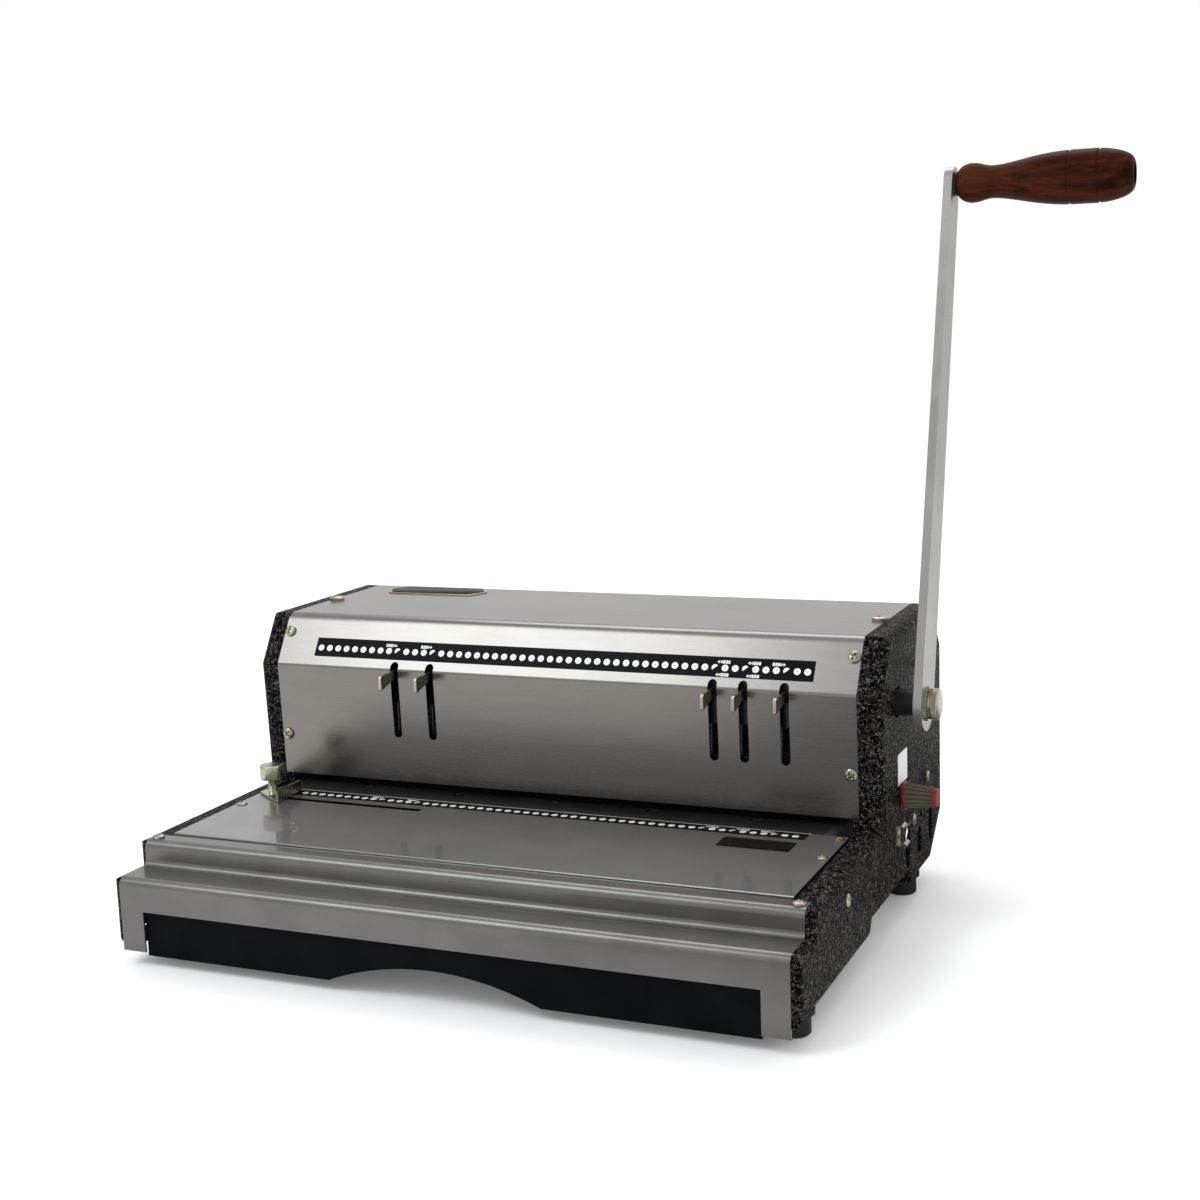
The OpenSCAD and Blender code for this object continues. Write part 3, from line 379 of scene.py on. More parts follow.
    def wood(self) -> tuple[bpy.types.NodeSocket, ...]:
        """Streaks and short pores along X over broad light and dark bands."""
        streak = self.noise((0.07, 0.8, 0.8), detail=4.0, rough=0.55, warp=0.8)
        pores = self.noise((0.35, 4.5, 4.5), detail=1.0, rough=0.5)
        band = self.noise((0.04, 0.16, 0.16), detail=2.0, rough=0.5, warp=0.5)
        tone = self.math("ADD", self.math("MULTIPLY", streak, 0.45), self.math("MULTIPLY", band, 0.55))
        dark = self.math("MULTIPLY", self.span(pores, 0.58, 0.74), 0.3)
        mask = self.math("MAXIMUM", self.math("SUBTRACT", self.span(tone, 0.3, 0.7), dark), 0.0)
        return mask, self.span(streak, 0.3, 0.7), self.math("SUBTRACT", streak, dark)


@dataclass(frozen=True)
class Finish:
    """A surface finish: two tones mixed by an effect, a span of roughness and a bump.

    The scale is in features per metre and the bump's depth in metres. Below a given height, in metres, the
    tone is painted black as shade, on the inner faces of cuts and under the sheet.
    """

    title: str
    effect: Effect
    tones: tuple[Colour, Colour]
    rough: Pair
    metallic: float = 0.0
    scale: float = 900.0
    bump: float = 0.1
    depth: float = 0.0001
    coat: float = 0.0
    coat_rough: float = 0.1
    specular: float = 0.5
    painted_shade_below: float = 0.0

    @cache
    def material(self) -> bpy.types.Material:
        """The finish as a material, made once.

        Returns:
            The material.
        """
        made = bpy.data.materials.new(f"{self.title}_finish")
        made.use_nodes = True
        tree = made.node_tree
        shader = tree.nodes["Principled BSDF"]
        for name, value in (("Metallic", self.metallic), ("Specular IOR Level", self.specular),
                            ("Coat Weight", self.coat), ("Coat Roughness", self.coat_rough)):
            shader.inputs[name].default_value = value
        place = tree.nodes.new("ShaderNodeTexCoord")
        size = tree.nodes.new("ShaderNodeMapping")
        size.inputs["Scale"].default_value = (self.scale,) * 3
        group = tree.nodes.new("ShaderNodeGroup")
        group.node_tree = GroupMaker(self.effect).make()
        tone = tree.nodes.new("ShaderNodeMix")
        tone.data_type = "RGBA"
        gloss = tree.nodes.new("ShaderNodeMapRange")
        gloss.inputs["To Min"].default_value, gloss.inputs["To Max"].default_value = self.rough
        relief = tree.nodes.new("ShaderNodeBump")
        relief.inputs["Strength"].default_value = self.bump
        relief.inputs["Distance"].default_value = self.depth
        mix = {socket.identifier: socket for socket in (*tone.inputs, *tone.outputs)}
        for name, colour in zip(("A_Color", "B_Color"), self.tones):
            mix[name].default_value = (*colour, 1)
        for a, b in ((place.outputs["Object"], size.inputs["Vector"]),
                     (size.outputs["Vector"], group.inputs["Vector"]),
                     (group.outputs["Mask"], mix["Factor_Float"]),
                     (mix["Result_Color"], shader.inputs["Base Color"]),
                     (group.outputs["Rough"], gloss.inputs["Value"]),
                     (gloss.outputs["Result"], shader.inputs["Roughness"]),
                     (group.outputs["Height"], relief.inputs["Height"]),
                     (relief.outputs["Normal"], shader.inputs["Normal"])):
            tree.links.new(a, b)
        # Painted shade: the tone turns black below a height.
        if self.painted_shade_below:
            self.paint_shade_below(tree, place.outputs["Object"], mix["Result_Color"])
        return made

    def paint_shade_below(self, tree: bpy.types.NodeTree, place: bpy.types.NodeSocket,
               tone: bpy.types.NodeSocket) -> None:
        """Paints shade: turns the tone black below a height, on the inner faces of a sheet's cuts and under
        it, where shade falls.

        Args:
            tree: the material's nodes.
            place: the place on the object.
            tone: the tone so far.
        """
        split = tree.nodes.new("ShaderNodeSeparateXYZ")
        above = tree.nodes.new("ShaderNodeMath")
        above.operation = "GREATER_THAN"
        above.inputs[1].default_value = self.painted_shade_below
        shade = tree.nodes.new("ShaderNodeVectorMath")
        shade.operation = "SCALE"
        for a, b in ((place, split.inputs["Vector"]), (split.outputs["Z"], above.inputs[0]),
                     (tone, shade.inputs[0]), (above.outputs[0], shade.inputs["Scale"]),
                     (shade.outputs[0], tree.nodes["Principled BSDF"].inputs["Base Color"])):
            tree.links.new(a, b)


def grey(value: float, warm: float = 0.0) -> Colour:
    """A grey of that brightness, a little warmer or cooler."""
    return (value * (1 + warm), value, value * (1 - warm))


class Coat(Enum):
    """The finishes of this machine, named after the record's material slots, and of the studio."""

    HAMMERTONE_BLACK = Finish("hammertone_black", Effect.HAMMERTONE, (grey(0.0010), grey(0.17, 0.07)),
                              (0.30, 0.45), scale=660.0, bump=1.0, depth=0.0018, specular=0.012)
    COVER_STEEL = Finish("cover_steel", Effect.BRUSHED, (grey(0.164, 0.07), grey(0.178, 0.07)),
                         (0.25, 0.29), metallic=1.0, scale=1000.0, bump=0.018)
    # The apron and the table are one satin silver paint. Their tones differ as painted light and shade:
    # darker on the apron's front, lighter on the table top.
    SHADED_SATIN_SILVER = Finish("satin_silver", Effect.GRAINED, (grey(0.110, 0.03), grey(0.130, 0.03)),
                          (0.30, 0.40), metallic=0.8, scale=1600.0, bump=0.03, coat=0.3, coat_rough=0.06,
                          specular=0.4)
    LIT_TABLE_SILVER = Finish("lit_table_silver", Effect.GRAINED, (grey(0.146), grey(0.168)), (0.36, 0.44),
                          metallic=0.8, scale=1600.0, bump=0.02, coat=0.7, coat_rough=0.03, specular=0.4,
                          # Painted shade: black below 68.2 mm, in the table's slot and under its front edge.
                          painted_shade_below=0.0682)
    FRAME_STEEL = Finish("frame_steel", Effect.GRAINED, (grey(0.10), grey(0.16)), (0.35, 0.5), metallic=1.0)
    BLACK_OXIDE = Finish("black_oxide", Effect.GRAINED, (grey(0.010), grey(0.018)), (0.35, 0.5),
                         metallic=0.3, specular=0.3)
    TOOL_STEEL = Finish("tool_steel", Effect.BRUSHED, (grey(0.07), grey(0.11)), (0.25, 0.4), metallic=1.0)
    BRIGHT_STEEL = Finish("bright_steel", Effect.BRUSHED, (grey(0.10), grey(0.16)), (0.2, 0.32),
                          metallic=1.0, bump=0.03)
    BRONZE = Finish("bronze", Effect.GRAINED, ((0.25, 0.16, 0.07), (0.34, 0.22, 0.10)), (0.3, 0.45),
                    metallic=1.0)
    RUBBER = Finish("rubber", Effect.GRAINED, (grey(0.006), grey(0.014)), (0.6, 0.8), scale=1500.0,
                    bump=0.2, specular=0.3)
    NICKEL = Finish("nickel", Effect.GRAINED, ((0.28, 0.25, 0.19), (0.42, 0.39, 0.31)), (0.22, 0.32),
                    metallic=1.0, scale=700.0, bump=0.02)
    LEVER_SILVER = Finish("lever_silver", Effect.GRAINED, (grey(0.24, 0.02), grey(0.30, 0.02)),
                          (0.28, 0.40), metallic=0.9, bump=0.05)
    DARK_STEEL = Finish("dark_steel", Effect.GRAINED, (grey(0.012), grey(0.03)), (0.3, 0.45), metallic=0.6,
                        specular=0.3)
    TURNED_WOOD = Finish("turned_wood", Effect.WOOD, ((0.010, 0.0027, 0.0014), (0.070, 0.0178, 0.0074)),
                         (0.36, 0.48), scale=320.0, depth=0.0003, specular=0.02)
    KNOB_GREY = Finish("knob_grey", Effect.GRAINED, ((0.085, 0.070, 0.048), (0.110, 0.094, 0.068)),
                       (0.4, 0.55), scale=1200.0, specular=0.12)
    KNOB_RED = Finish("knob_red", Effect.GRAINED, ((0.20, 0.006, 0.010), (0.25, 0.009, 0.013)),
                      (0.3, 0.42), scale=1200.0, bump=0.06, specular=0.4)
    DRAWER_BLACK = Finish("drawer_black", Effect.GRAINED,
                          ((0.0016, 0.0020, 0.0024), (0.0032, 0.0038, 0.0044)), (0.45, 0.60), scale=1400.0,
                          specular=0.03)
    PRINT_BLACK = Finish("print_black", Effect.GRAINED, (grey(0.002), grey(0.0035)), (0.30, 0.40),
                         bump=0.02, specular=0.04)
    PRINT_GREY = Finish("print_grey", Effect.GRAINED, (grey(0.30), grey(0.36)), (0.4, 0.5), bump=0.02)
    PRINT_WHITE = Finish("print_white", Effect.GRAINED, (grey(0.74), grey(0.80)), (0.4, 0.5), bump=0.02)
    PLATE_GOLD = Finish("plate_gold", Effect.BRUSHED, ((0.26, 0.21, 0.07), (0.38, 0.32, 0.13)),
                        (0.25, 0.4), metallic=1.0)
    FLOOR_PALE = Finish("floor_pale", Effect.GRAINED, (grey(0.90), grey(0.92)), (0.7, 0.8), scale=60.0,
                        bump=0.0)
    CARD_GREY = Finish("card_grey", Effect.GRAINED, (grey(0.20), grey(0.22)), (0.8, 0.9), scale=60.0,
                       bump=0.0)


# Pieces

def add_piece(name: str, shape: Surface, body: str, coat: Coat,
              nodes: tuple[str, ...] = (), angle: float = 35.0) -> bpy.types.Object:
    """A surface as a piece that rides on a body.

    Args:
        name: name of the piece.
        shape: the surface, in millimetres.
        body: the body it moves with.
        coat: its finish.
        nodes: solids that it stands for.
        angle: edges sharper than this, in degrees, stay sharp.
    Returns:
        The piece.
    """
    mesh = bpy.data.meshes.new(name)
    faces = [row for block in shape.faces for row in block.tolist()]
    mesh.from_pydata((shape.points * MM).tolist(), [], faces)
    work = bmesh.new()
    work.from_mesh(mesh)
    bmesh.ops.remove_doubles(work, verts=work.verts, dist=WELD)
    bmesh.ops.recalc_face_normals(work, faces=work.faces)
    work.to_mesh(mesh)
    work.free()
    mesh.shade_smooth()
    mesh.set_sharp_from_angle(angle=math.radians(angle))
    mesh.materials.append(coat.value.material())
    piece = bpy.data.objects.new(name, mesh)
    bpy.context.scene.collection.objects.link(piece)
    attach(piece, body)
    if nodes:
        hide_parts(*nodes)
    LOG.info("%s: %d faces on %s in %s", name, len(mesh.polygons), body, coat.value.title)
    return piece


def dress(coats: dict[str, Coat]) -> None:
    """Gives solids that stay as they are their finish.

    Args:
        coats: finish of each solid, by the solid's name.
    """
    for name, coat in coats.items():
        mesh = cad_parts[name].data
        mesh.materials.clear()
        mesh.materials.append(coat.value.material())
        LOG.info("%s: %s", name, coat.value.title)


@dataclass(frozen=True)
class SoftBox:
    """A rectangular light: its place, the point that it faces, its width and height, power and colour."""

    name: str
    place: Triple
    target: Triple
    size: Pair
    watts: float
    tint: Colour = (1.0, 1.0, 1.0)


@dataclass
class Studio:
    """Camera, floor and soft light.

    Angles are in degrees, and the lens and its sensor in millimetres. A card is the middle, then the
    width and depth, of a dark patch that shows only in reflections.
    """

    eye: Triple = (0.4537, -0.9354, 0.3705)
    azimuth: float = 23.596
    elevation: float = 9.463
    roll: float = -2.068
    lens: float = 52.99
    sensor: float = 36.0
    far: float = 50.0
    floor_half: float = 6.0
    floor_cells: int = 8
    floor_glow: float = 0.10
    card_height: float = 0.002
    cards: tuple[tuple[float, float, float, float], ...] = (
        (0.35, -0.50, 0.70, 0.50), (0.48, 0.27, 0.60, 0.40))
    boxes: tuple[SoftBox, ...] = (
        SoftBox("key_box", (-0.83, -0.95, 1.5), (0, 0, 0.15), (0.75, 0.8), 11.5, (0.90, 0.97, 1.0)),
        SoftBox("top_box", (-0.2, 0.9, 1.6), (0, 0, 0.1), (1.4, 0.8), 11.2))

    def camera(self) -> None:
        """A camera at the photographed angle, looking down a little with a slight roll."""
        az, el, roll = (math.radians(a) for a in (self.azimuth, self.elevation, self.roll))
        ahead = np.array([-math.sin(az) * math.cos(el), math.cos(az) * math.cos(el), -math.sin(el)])
        level = np.array([math.cos(az), math.sin(az), 0.0])
        upright = np.cross(level, ahead)
        right = level * math.cos(roll) + upright * math.sin(roll)
        up = upright * math.cos(roll) - level * math.sin(roll)
        turn = Matrix(np.stack([right, up, -ahead], 1).tolist()).to_4x4()
        data = bpy.data.cameras.new("camera")
        data.lens, data.sensor_width, data.sensor_fit = self.lens, self.sensor, "HORIZONTAL"
        data.clip_end = self.far
        made = bpy.data.objects.new("camera", data)
        made.matrix_world = Matrix.Translation(self.eye) @ turn
        bpy.context.scene.collection.objects.link(made)
        bpy.context.scene.camera = made

    def ground(self, name: str, middle: Pair, size: Pair, height: float,
               cells: int, coat: Coat) -> bpy.types.Object:
        """A flat grid on the ground that belongs to the studio.

        Args:
            name: name of the object.
            middle: its centre.
            size: its width and depth.
            height: its height.
            cells: squares along a side.
            coat: its finish.
        Returns:
            The object.
        """
        line = np.linspace(-0.5, 0.5, cells + 1)
        u, v = np.meshgrid(line, line, indexing="ij")
        mesh = bpy.data.meshes.new(name)
        points = np.stack([middle[0] + u * size[0], middle[1] + v * size[1], np.full_like(u, height)], -1)
        mesh.from_pydata(points.reshape(-1, 3).tolist(), [], grid_faces(cells + 1, cells + 1).tolist())
        mesh.materials.append(coat.value.material())
        made = bpy.data.objects.new(name, mesh)
        bpy.context.scene.collection.objects.link(made)
        return made

    def floor(self) -> None:
        """A wide pale floor under the feet, which glows a little."""
        wide = 2 * self.floor_half
        made = self.ground("floor", (0.0, 0.0), (wide, wide), 0.0, self.floor_cells, Coat.FLOOR_PALE)
        shader = made.data.materials[0].node_tree.nodes["Principled BSDF"]
        shader.inputs["Emission Color"].default_value = (1, 1, 1, 1)
        shader.inputs["Emission Strength"].default_value = self.floor_glow

    def dark_cards(self) -> None:
        """Dark cards on the floor that show only in reflections."""
        for x, y, wide, deep in self.cards:
            made = self.ground("dark_card", (x, y), (wide, deep), self.card_height, 1, Coat.CARD_GREY)
            made.visible_camera = made.visible_diffuse = made.visible_shadow = False

    def light(self, box: SoftBox) -> None:
        """A soft box.

        Args:
            box: what it is like.
        """
        data = bpy.data.lights.new(box.name, "AREA")
        data.shape, data.energy, data.color = "RECTANGLE", box.watts, box.tint
        data.size, data.size_y = box.size
        made = bpy.data.objects.new(box.name, data)
        made.visible_camera = False
        away = Vector(box.place) - Vector(box.target)
        turn = away.to_track_quat("Z", "Y").to_matrix().to_4x4()
        made.matrix_world = Matrix.Translation(box.place) @ turn
        bpy.context.scene.collection.objects.link(made)

    def world(self) -> None:
        """An even pale surround."""
        world = bpy.data.worlds.new("surround")
        world.use_nodes = True
        even = world.node_tree.nodes["Background"]
        even.inputs["Color"].default_value, even.inputs["Strength"].default_value = (1, 1, 1, 1), 1.0
        bpy.context.scene.world = world

    def build(self) -> None:
        """Camera, floor, cards, surround and lights."""
        self.camera()
        self.floor()
        self.dark_cards()
        self.world()
        for box in self.boxes:
            self.light(box)
        bpy.context.scene.view_settings.view_transform = "Standard"
        LOG.info("studio: camera, floor, %d dark cards, %d lights", len(self.cards), len(self.boxes))


@dataclass
class Body:
    """Side plates, apron, table and cover with their screws, strips and plates.

    The fold is the depth and height where the cover starts to slope, and the slope its direction from
    there. A screw's head is its width and height. Dots are counted from the middle one. A film is the
    thickness and the edge of a print.
    """

    fold: Pair = (162.3, 147.3)
    slope: Pair = (0.5263, 0.8503)
    top_z: float = 178.0
    table_z: float = 68.6
    side_x: float = 208.0
    pan: Pair = (7.2, 2.0)
    dome: Pair = (10.0, 2.8)
    flat: Pair = (6.4, 1.1)
    shank: float = 3.0
    first_turn: float = 23.0
    next_turn: float = 37.0
    pitch: float = 6.2865
    dots: int = 53
    dot: float = 4.2
    dot_sides: int = 24
    half_dots: tuple[int, ...] = (-17, -13, 17, 20, 24)
    right_marks: tuple[int, ...] = (17, 20)
    half_slant: float = 40.0
    centre_share: float = 0.24
    mark_rise: float = 3.75
    mark_fall: float = -4.3
    arrows_at: tuple[float, ...] = (1.0, 2.7)
    dashes_at: tuple[float, ...] = (5.2, 6.8, 8.4)
    dot_low: float = 0.16
    centre_low: float = 0.20
    film: Pair = (0.06, 0.02)
    film_taper: float = 0.02
    strip_from: float = 6.9
    strip_size: Pair = (335.0, 12.7)
    table_strip_at: Pair = (-3.0, 140.4)
    table_strip_size: Pair = (346.0, 10.8)
    table_line_depth: float = 146.3
    table_plate_at: Pair = (146.6, 119.5)
    top_plate_at: Pair = (-136.5, 279.0)
    top_face_lift: float = 0.65
    label_at: Pair = (211.0, 94.5)

    def screws(self) -> None:
        """The screws of cover, table, apron, die and sides: shank length, then place, direction and head."""
        front_up, slope_up = (0.0, -0.9992, -0.0396), (0.0, -self.slope[1], self.slope[0])
        sides = (1, -1)
        rows = {
            "cover_screws": (6.0, [(s * 189.7, *row) for s in sides for row in (
                (164.16, 100.4, front_up, self.pan), (174.49, 167.0, slope_up, self.pan),
                (233.0, self.top_z, UP, self.dome))]),
            "table_screws": (6.0, [(s * 188.9, depth, self.table_z, UP, self.flat)
                                   for s in sides for depth in (106.0, 140.0)]),
            "apron_screws": (6.0, [(s * 198.0, 33.0, 67.6, UP, self.pan) for s in sides]),
            "die_screws": (3.5, [(66.0 * i, 165.2, 66.5, UP, self.pan) for i in range(-2, 3)]),
            "side_screws": (12.0, [(s * self.side_x, depth, z, (s, 0, 0), self.pan) for s in sides
                                   for depth, z in ((85.5, 53.6), (272.0, 72.7), (250.0, 150.0))]),
        }
        for node, (long, spots) in rows.items():
            shapes = [pan_screw(*head, self.shank, long, self.first_turn + self.next_turn * i).placed(
                (x, depth, z), BACK if up[0] else RIGHT, up)
                for i, (x, depth, z, up, head) in enumerate(spots)]
            coat = Coat.DARK_STEEL if node == "die_screws" else Coat.NICKEL
            add_piece(f"{node}_fine", joined(shapes), "chassis", coat, nodes=(node,))

    def strip(self, name: str, origin: Triple, up: Triple, size: Pair, level: float,
              below: tuple[int, ...] = ()) -> None:
        """A black strip along X with a row of white dots; at the levers only half of a dot is printed.

        A dot is a low disc. A half dot keeps the points on one side of a slanted line, and has a pair of
        arrow heads and three dashes beside it. A whole dot has a grey centre. Marks on the left are
        mirrored and their points taken in reverse, so that all outlines run the same way.

        Args:
            name: name of the strip.
            origin: middle of the strip on its seat.
            up: direction out of its face.
            size: length and width of the strip.
            level: distance of the dots' row from the strip's middle.
            below: half dots that have marks under them too.
        """
        base = rounded_slab(*size, radius=0.4, thick=0.2, edge=0.05)
        add_piece(f"{name}_base", base.placed(origin, RIGHT, up), "chassis", Coat.PRINT_BLACK)
        angle = np.linspace(0, 2 * math.pi, self.dot_sides, endpoint=False)
        disc = self.dot / 2 * np.stack([np.cos(angle), np.sin(angle)], -1)
        slant = math.radians(self.half_slant)
        line = np.array([-math.sin(slant), math.cos(slant)])
        half = disc - np.minimum(disc @ line, 0)[:, None] * line
        arrow = np.array([[0, 0], [1.5, -1.1], [1.5, 1.1]])
        dash = np.array([[-0.6, -1.0], [0.6, -1.0], [0.6, 1.0], [-0.6, 1.0]])
        signs = [arrow + [at, 0] for at in self.arrows_at] + [dash + [at, 0] for at in self.dashes_at]
        white, centres = [], []
        for i in range(-(self.dots // 2), self.dots // 2 + 1):
            at = np.array([i * self.pitch - origin[0], level])
            white.append((half if i in self.half_dots else disc) + at)
            if i not in self.half_dots:
                centres.append(disc[::2] * self.centre_share + at)
                continue
            side = 1 if i in self.right_marks else -1
            for rise in (self.mark_rise, self.mark_fall) if i in below else (self.mark_rise,):
                white += [(sign * [side, 1])[::side] + at + [0, rise] for sign in signs]
        for piece, rings, low, coat in (("dots", white, self.dot_low, Coat.PRINT_WHITE),
                                        ("marks", centres, self.centre_low, Coat.PRINT_GREY)):
            inner = [ring * (1 - self.film_taper) + ring.mean(0) * self.film_taper for ring in rings]
            prints = joined([slab(ring, drawn, *self.film) for ring, drawn in zip(rings, inner)])
            prints.points[:, 2] += low
            add_piece(f"{name}_{piece}", prints.placed(origin, RIGHT, up), "chassis", coat)

    def plates(self) -> None:
        """Bare plates: one on the table, one with pointed ends on top, and a pale label on the side."""
        hexagon = np.array([[38.5, 0], [31, 14], [-31, 14], [-38.5, 0], [-31, -14], [31, -14]], float)
        table = rounded_slab(42.8, 16.0, radius=0.8, thick=0.5, edge=0.15)
        rim = slab(hexagon, hexagon * [0.99, 0.97], thick=0.7, edge=0.2)
        face = slab(hexagon * [0.94, 0.88], hexagon * [0.935, 0.87], thick=0.25, edge=0.1)
        label = rounded_slab(22.0, 19.0, radius=1.0, thick=0.2, edge=0.05)
        top, black = self.top_plate_at, (Coat.PRINT_BLACK, "drawer_black")
        for name, shape, place, across, up, coat, slot in (
                ("table_plate", table, (*self.table_plate_at, self.table_z), RIGHT, UP, *black),
                ("top_plate_rim", rim, (*top, self.top_z), RIGHT, UP, Coat.PLATE_GOLD, "bronze"),
                ("top_plate_face", face, (*top, self.top_z + self.top_face_lift), RIGHT, UP, *black),
                ("side_label", label, (self.side_x, *self.label_at), BACK, RIGHT, Coat.PRINT_WHITE,
                 "satin_silver")):
            add_piece(name, shape.placed(place, across, up), "chassis", coat)

    def build(self) -> None:
        """Dresses the solids and adds screws, strips and plates."""
        dress({"side_plate_left": Coat.HAMMERTONE_BLACK, "side_plate_right": Coat.HAMMERTONE_BLACK,
               "front_apron": Coat.SHADED_SATIN_SILVER, "punch_table": Coat.LIT_TABLE_SILVER,
               "head_cover": Coat.COVER_STEEL, "rear_cover": Coat.HAMMERTONE_BLACK,
               "tie_bars": Coat.BRIGHT_STEEL, "rubber_feet": Coat.RUBBER, "foot_screws": Coat.NICKEL,
               "tool_clip": Coat.NICKEL, "tool_peg": Coat.NICKEL})
        self.screws()
        middle = self.strip_from + self.strip_size[1] / 2
        spot = (0.0, self.fold[0] + self.slope[0] * middle, self.fold[1] + self.slope[1] * middle)
        self.strip("cover_strip", spot, (0.0, -self.slope[1], self.slope[0]), self.strip_size, level=-0.6,
                   below=self.right_marks)
        self.strip("table_strip", (*self.table_strip_at, self.table_z), UP, self.table_strip_size,
                   level=-0.8)
        line = rounded_slab(348.0, 1.1, radius=0.2, thick=0.22, edge=0.05)
        spot = (self.table_strip_at[0], self.table_line_depth, self.table_z)
        add_piece("table_strip_line", line.placed(spot, RIGHT, UP), "chassis", Coat.PRINT_GREY)
        self.plates()


@dataclass
class PunchHead:
    """Frames, die, pins and the levers that switch pins off."""

    levers: int = 5
    spring_turns: int = 8
    spring_wire: float = 0.8
    turn_steps: int = 24
    wire_sides: int = 10
    stroke: float = 30.0

    def springs(self) -> None:
        """Two wound wires that shorten with the stroke of the punch bar.

        A point is on a circle about the wire's middle, in the plane of the axis, and the middle runs up
        a helix: (c cos a, c sin a, rise a / turn) with c = coil radius + wire cos b, and wire sin b added
        to the height.
        """
        low, high = (np.array(corner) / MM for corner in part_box("return_springs"))
        outer = (high[1] - low[1]) / 2
        steps = self.turn_steps * self.spring_turns
        a = np.linspace(0, 2 * math.pi * self.spring_turns, steps + 1)[:, None]
        b = np.linspace(0, 2 * math.pi, self.wire_sides, endpoint=False)
        reach = outer - self.spring_wire * (1 - np.cos(b))
        tall = high[2] - low[2]
        height = (tall - 2 * self.spring_wire) * a / a.max() + self.spring_wire * (1 + np.sin(b))
        coil = np.stack([reach * np.cos(a), reach * np.sin(a), height], -1).reshape(-1, 3)
        ends = np.arange(len(b))[None]
        faces = [grid_faces(len(a), len(b), True), ends, ends + len(coil) - len(b)]
        middle = (low[1] + high[1]) / 2
        pair = [Surface(coil + [x, middle, low[2]], faces) for x in (low[0] + outer, high[0] - outer)]
        piece = add_piece("return_springs_fine", joined(pair), "chassis", Coat.BRIGHT_STEEL,
                          nodes=("return_springs",), angle=60.0)
        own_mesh(piece)

    def build(self) -> None:
        """Dresses the solids of the punching head and adds its springs."""
        dress({"inner_frame_left": Coat.FRAME_STEEL, "inner_frame_right": Coat.FRAME_STEEL,
               "die_plate": Coat.BLACK_OXIDE, "pin_guide_plate": Coat.BLACK_OXIDE,
               "guide_posts": Coat.BRIGHT_STEEL, "shaft_bushes": Coat.BRONZE,
               "punch_bar": Coat.TOOL_STEEL, "punch_pins": Coat.BRIGHT_STEEL})
        dress({f"pin_lever_{i + 1}": Coat.NICKEL for i in range(self.levers)})
        self.springs()


@dataclass
class LeverArm:
    """Drive shaft, lever and the turned wooden grip.

    A groove's cut is its depth and half width. The hollow in the grip's end has a radius and a start.
    """

    grip_at: Triple = (227.3, 280.85, 433.99)
    bolt_at: Triple = (227.0, 201.0, 136.0)
    length: float = 101.0
    groove_at: tuple[float, ...] = (64.5, 81.5)
    groove_cut: Pair = (0.7, 0.6)
    hollow: Pair = (6.3, 94.7)
    bore: float = 4.1
    turns: int = 72

    def grip_profile(self) -> np.ndarray:
        """Radius along the grip: a ball, a neck, a long swell, a belly and a rounded end.

        Knots, rows of distance and radius, are joined by a shape-keeping cubic, and each groove takes off
        a narrow bell of radius.

        Returns:
            Rows of radius and distance from the inner end.
        """
        knots = np.array([
            [0, 7.0], [1.2, 8.6], [4, 10.6], [8, 11.5], [12, 11.2], [16, 10.1], [20, 9.5], [25, 9.8],
            [34, 11.3], [46, 13.6], [58, 15.1], [66, 15.5], [80, 15.5], [85, 15.15], [88.5, 14.6],
            [92, 13.8], [95, 12.8], [97.5, 11.6], [99.3, 10.3], [100.4, 8.9], [self.length, 7.4]])
        at = np.unique(np.concatenate([np.linspace(0, self.length, 160),
                                       *(g + np.linspace(-2, 2, 25) for g in self.groove_at)]))
        x, y = knots.T
        step = np.diff(y) / np.diff(x)
        same = step[:-1] * step[1:] > 0
        mean = np.where(same, 2 * step[:-1] * step[1:] / np.where(same, step[:-1] + step[1:], 1), 0)
        lean = np.concatenate([step[:1], mean, step[-1:]])
        i = np.clip(np.searchsorted(x, at, "right") - 1, 0, len(x) - 2)
        h = x[i + 1] - x[i]
        t = (at - x[i]) / h
        radius = ((1 + 2 * t) * (1 - t) ** 2 * y[i] + t * (1 - t) ** 2 * h * lean[i]
                  + t * t * (3 - 2 * t) * y[i + 1] - t * t * (1 - t) * h * lean[i + 1])
        deep, half = self.groove_cut
        for groove in self.groove_at:
            radius = radius - deep * np.exp(-((at - groove) / half) ** 2)
        return np.stack([radius, at], -1)

    def grip(self) -> None:
        """The wooden grip, turned about its spindle, with its end hollow round the spindle's head."""
        wide, start = self.hollow
        inside = np.array([[6.7, self.length], [wide, 100.6], [wide, start], [self.bore, start],
                           [self.bore, 0.0], [7.0, 0.0]])
        shape = lathe(np.concatenate([self.grip_profile(), inside]), self.turns)
        add_piece("wooden_grip_fine", shape.placed(self.grip_at, DOWN, RIGHT), "grip", Coat.TURNED_WOOD,
                  nodes=("wooden_grip",))

    def bolt(self) -> None:
        """The lever's bolt, from rows of radius and height: shank, ring, groove, fine ridges, head."""
        shank = [[0, -16], [3, -16], [3, 0]]
        ring = [[8.6, 0], [9.0, 0.3], [9.0, 1.6]]
        groove = [[8.4, 1.8], [8.4, 2.2]]
        ridges = np.stack([np.tile([9.3, 9.0], 4), 2.4 + 0.32 * np.arange(8)], -1)
        head = [[9.3, 4.9], [9.1, 5.3], [8.5, 5.6], [0, 5.7]]
        shape = lathe(np.concatenate([shank, ring, groove, ridges, head]), self.turns)
        add_piece("lever_bolt_fine", shape.placed(self.bolt_at, DOWN, RIGHT), "handle", Coat.NICKEL,
                  nodes=("lever_bolt",))

    def build(self) -> None:
        """Dresses the lever's solids and adds the bolt and the grip."""
        dress({"drive_shaft": Coat.BLACK_OXIDE, "cranks": Coat.TOOL_STEEL, "lever_bar": Coat.LEVER_SILVER,
               "lever_washer": Coat.NICKEL, "grip_spindle": Coat.DARK_STEEL,
               "grip_washer": Coat.BLACK_OXIDE})
        self.bolt()
        self.grip()


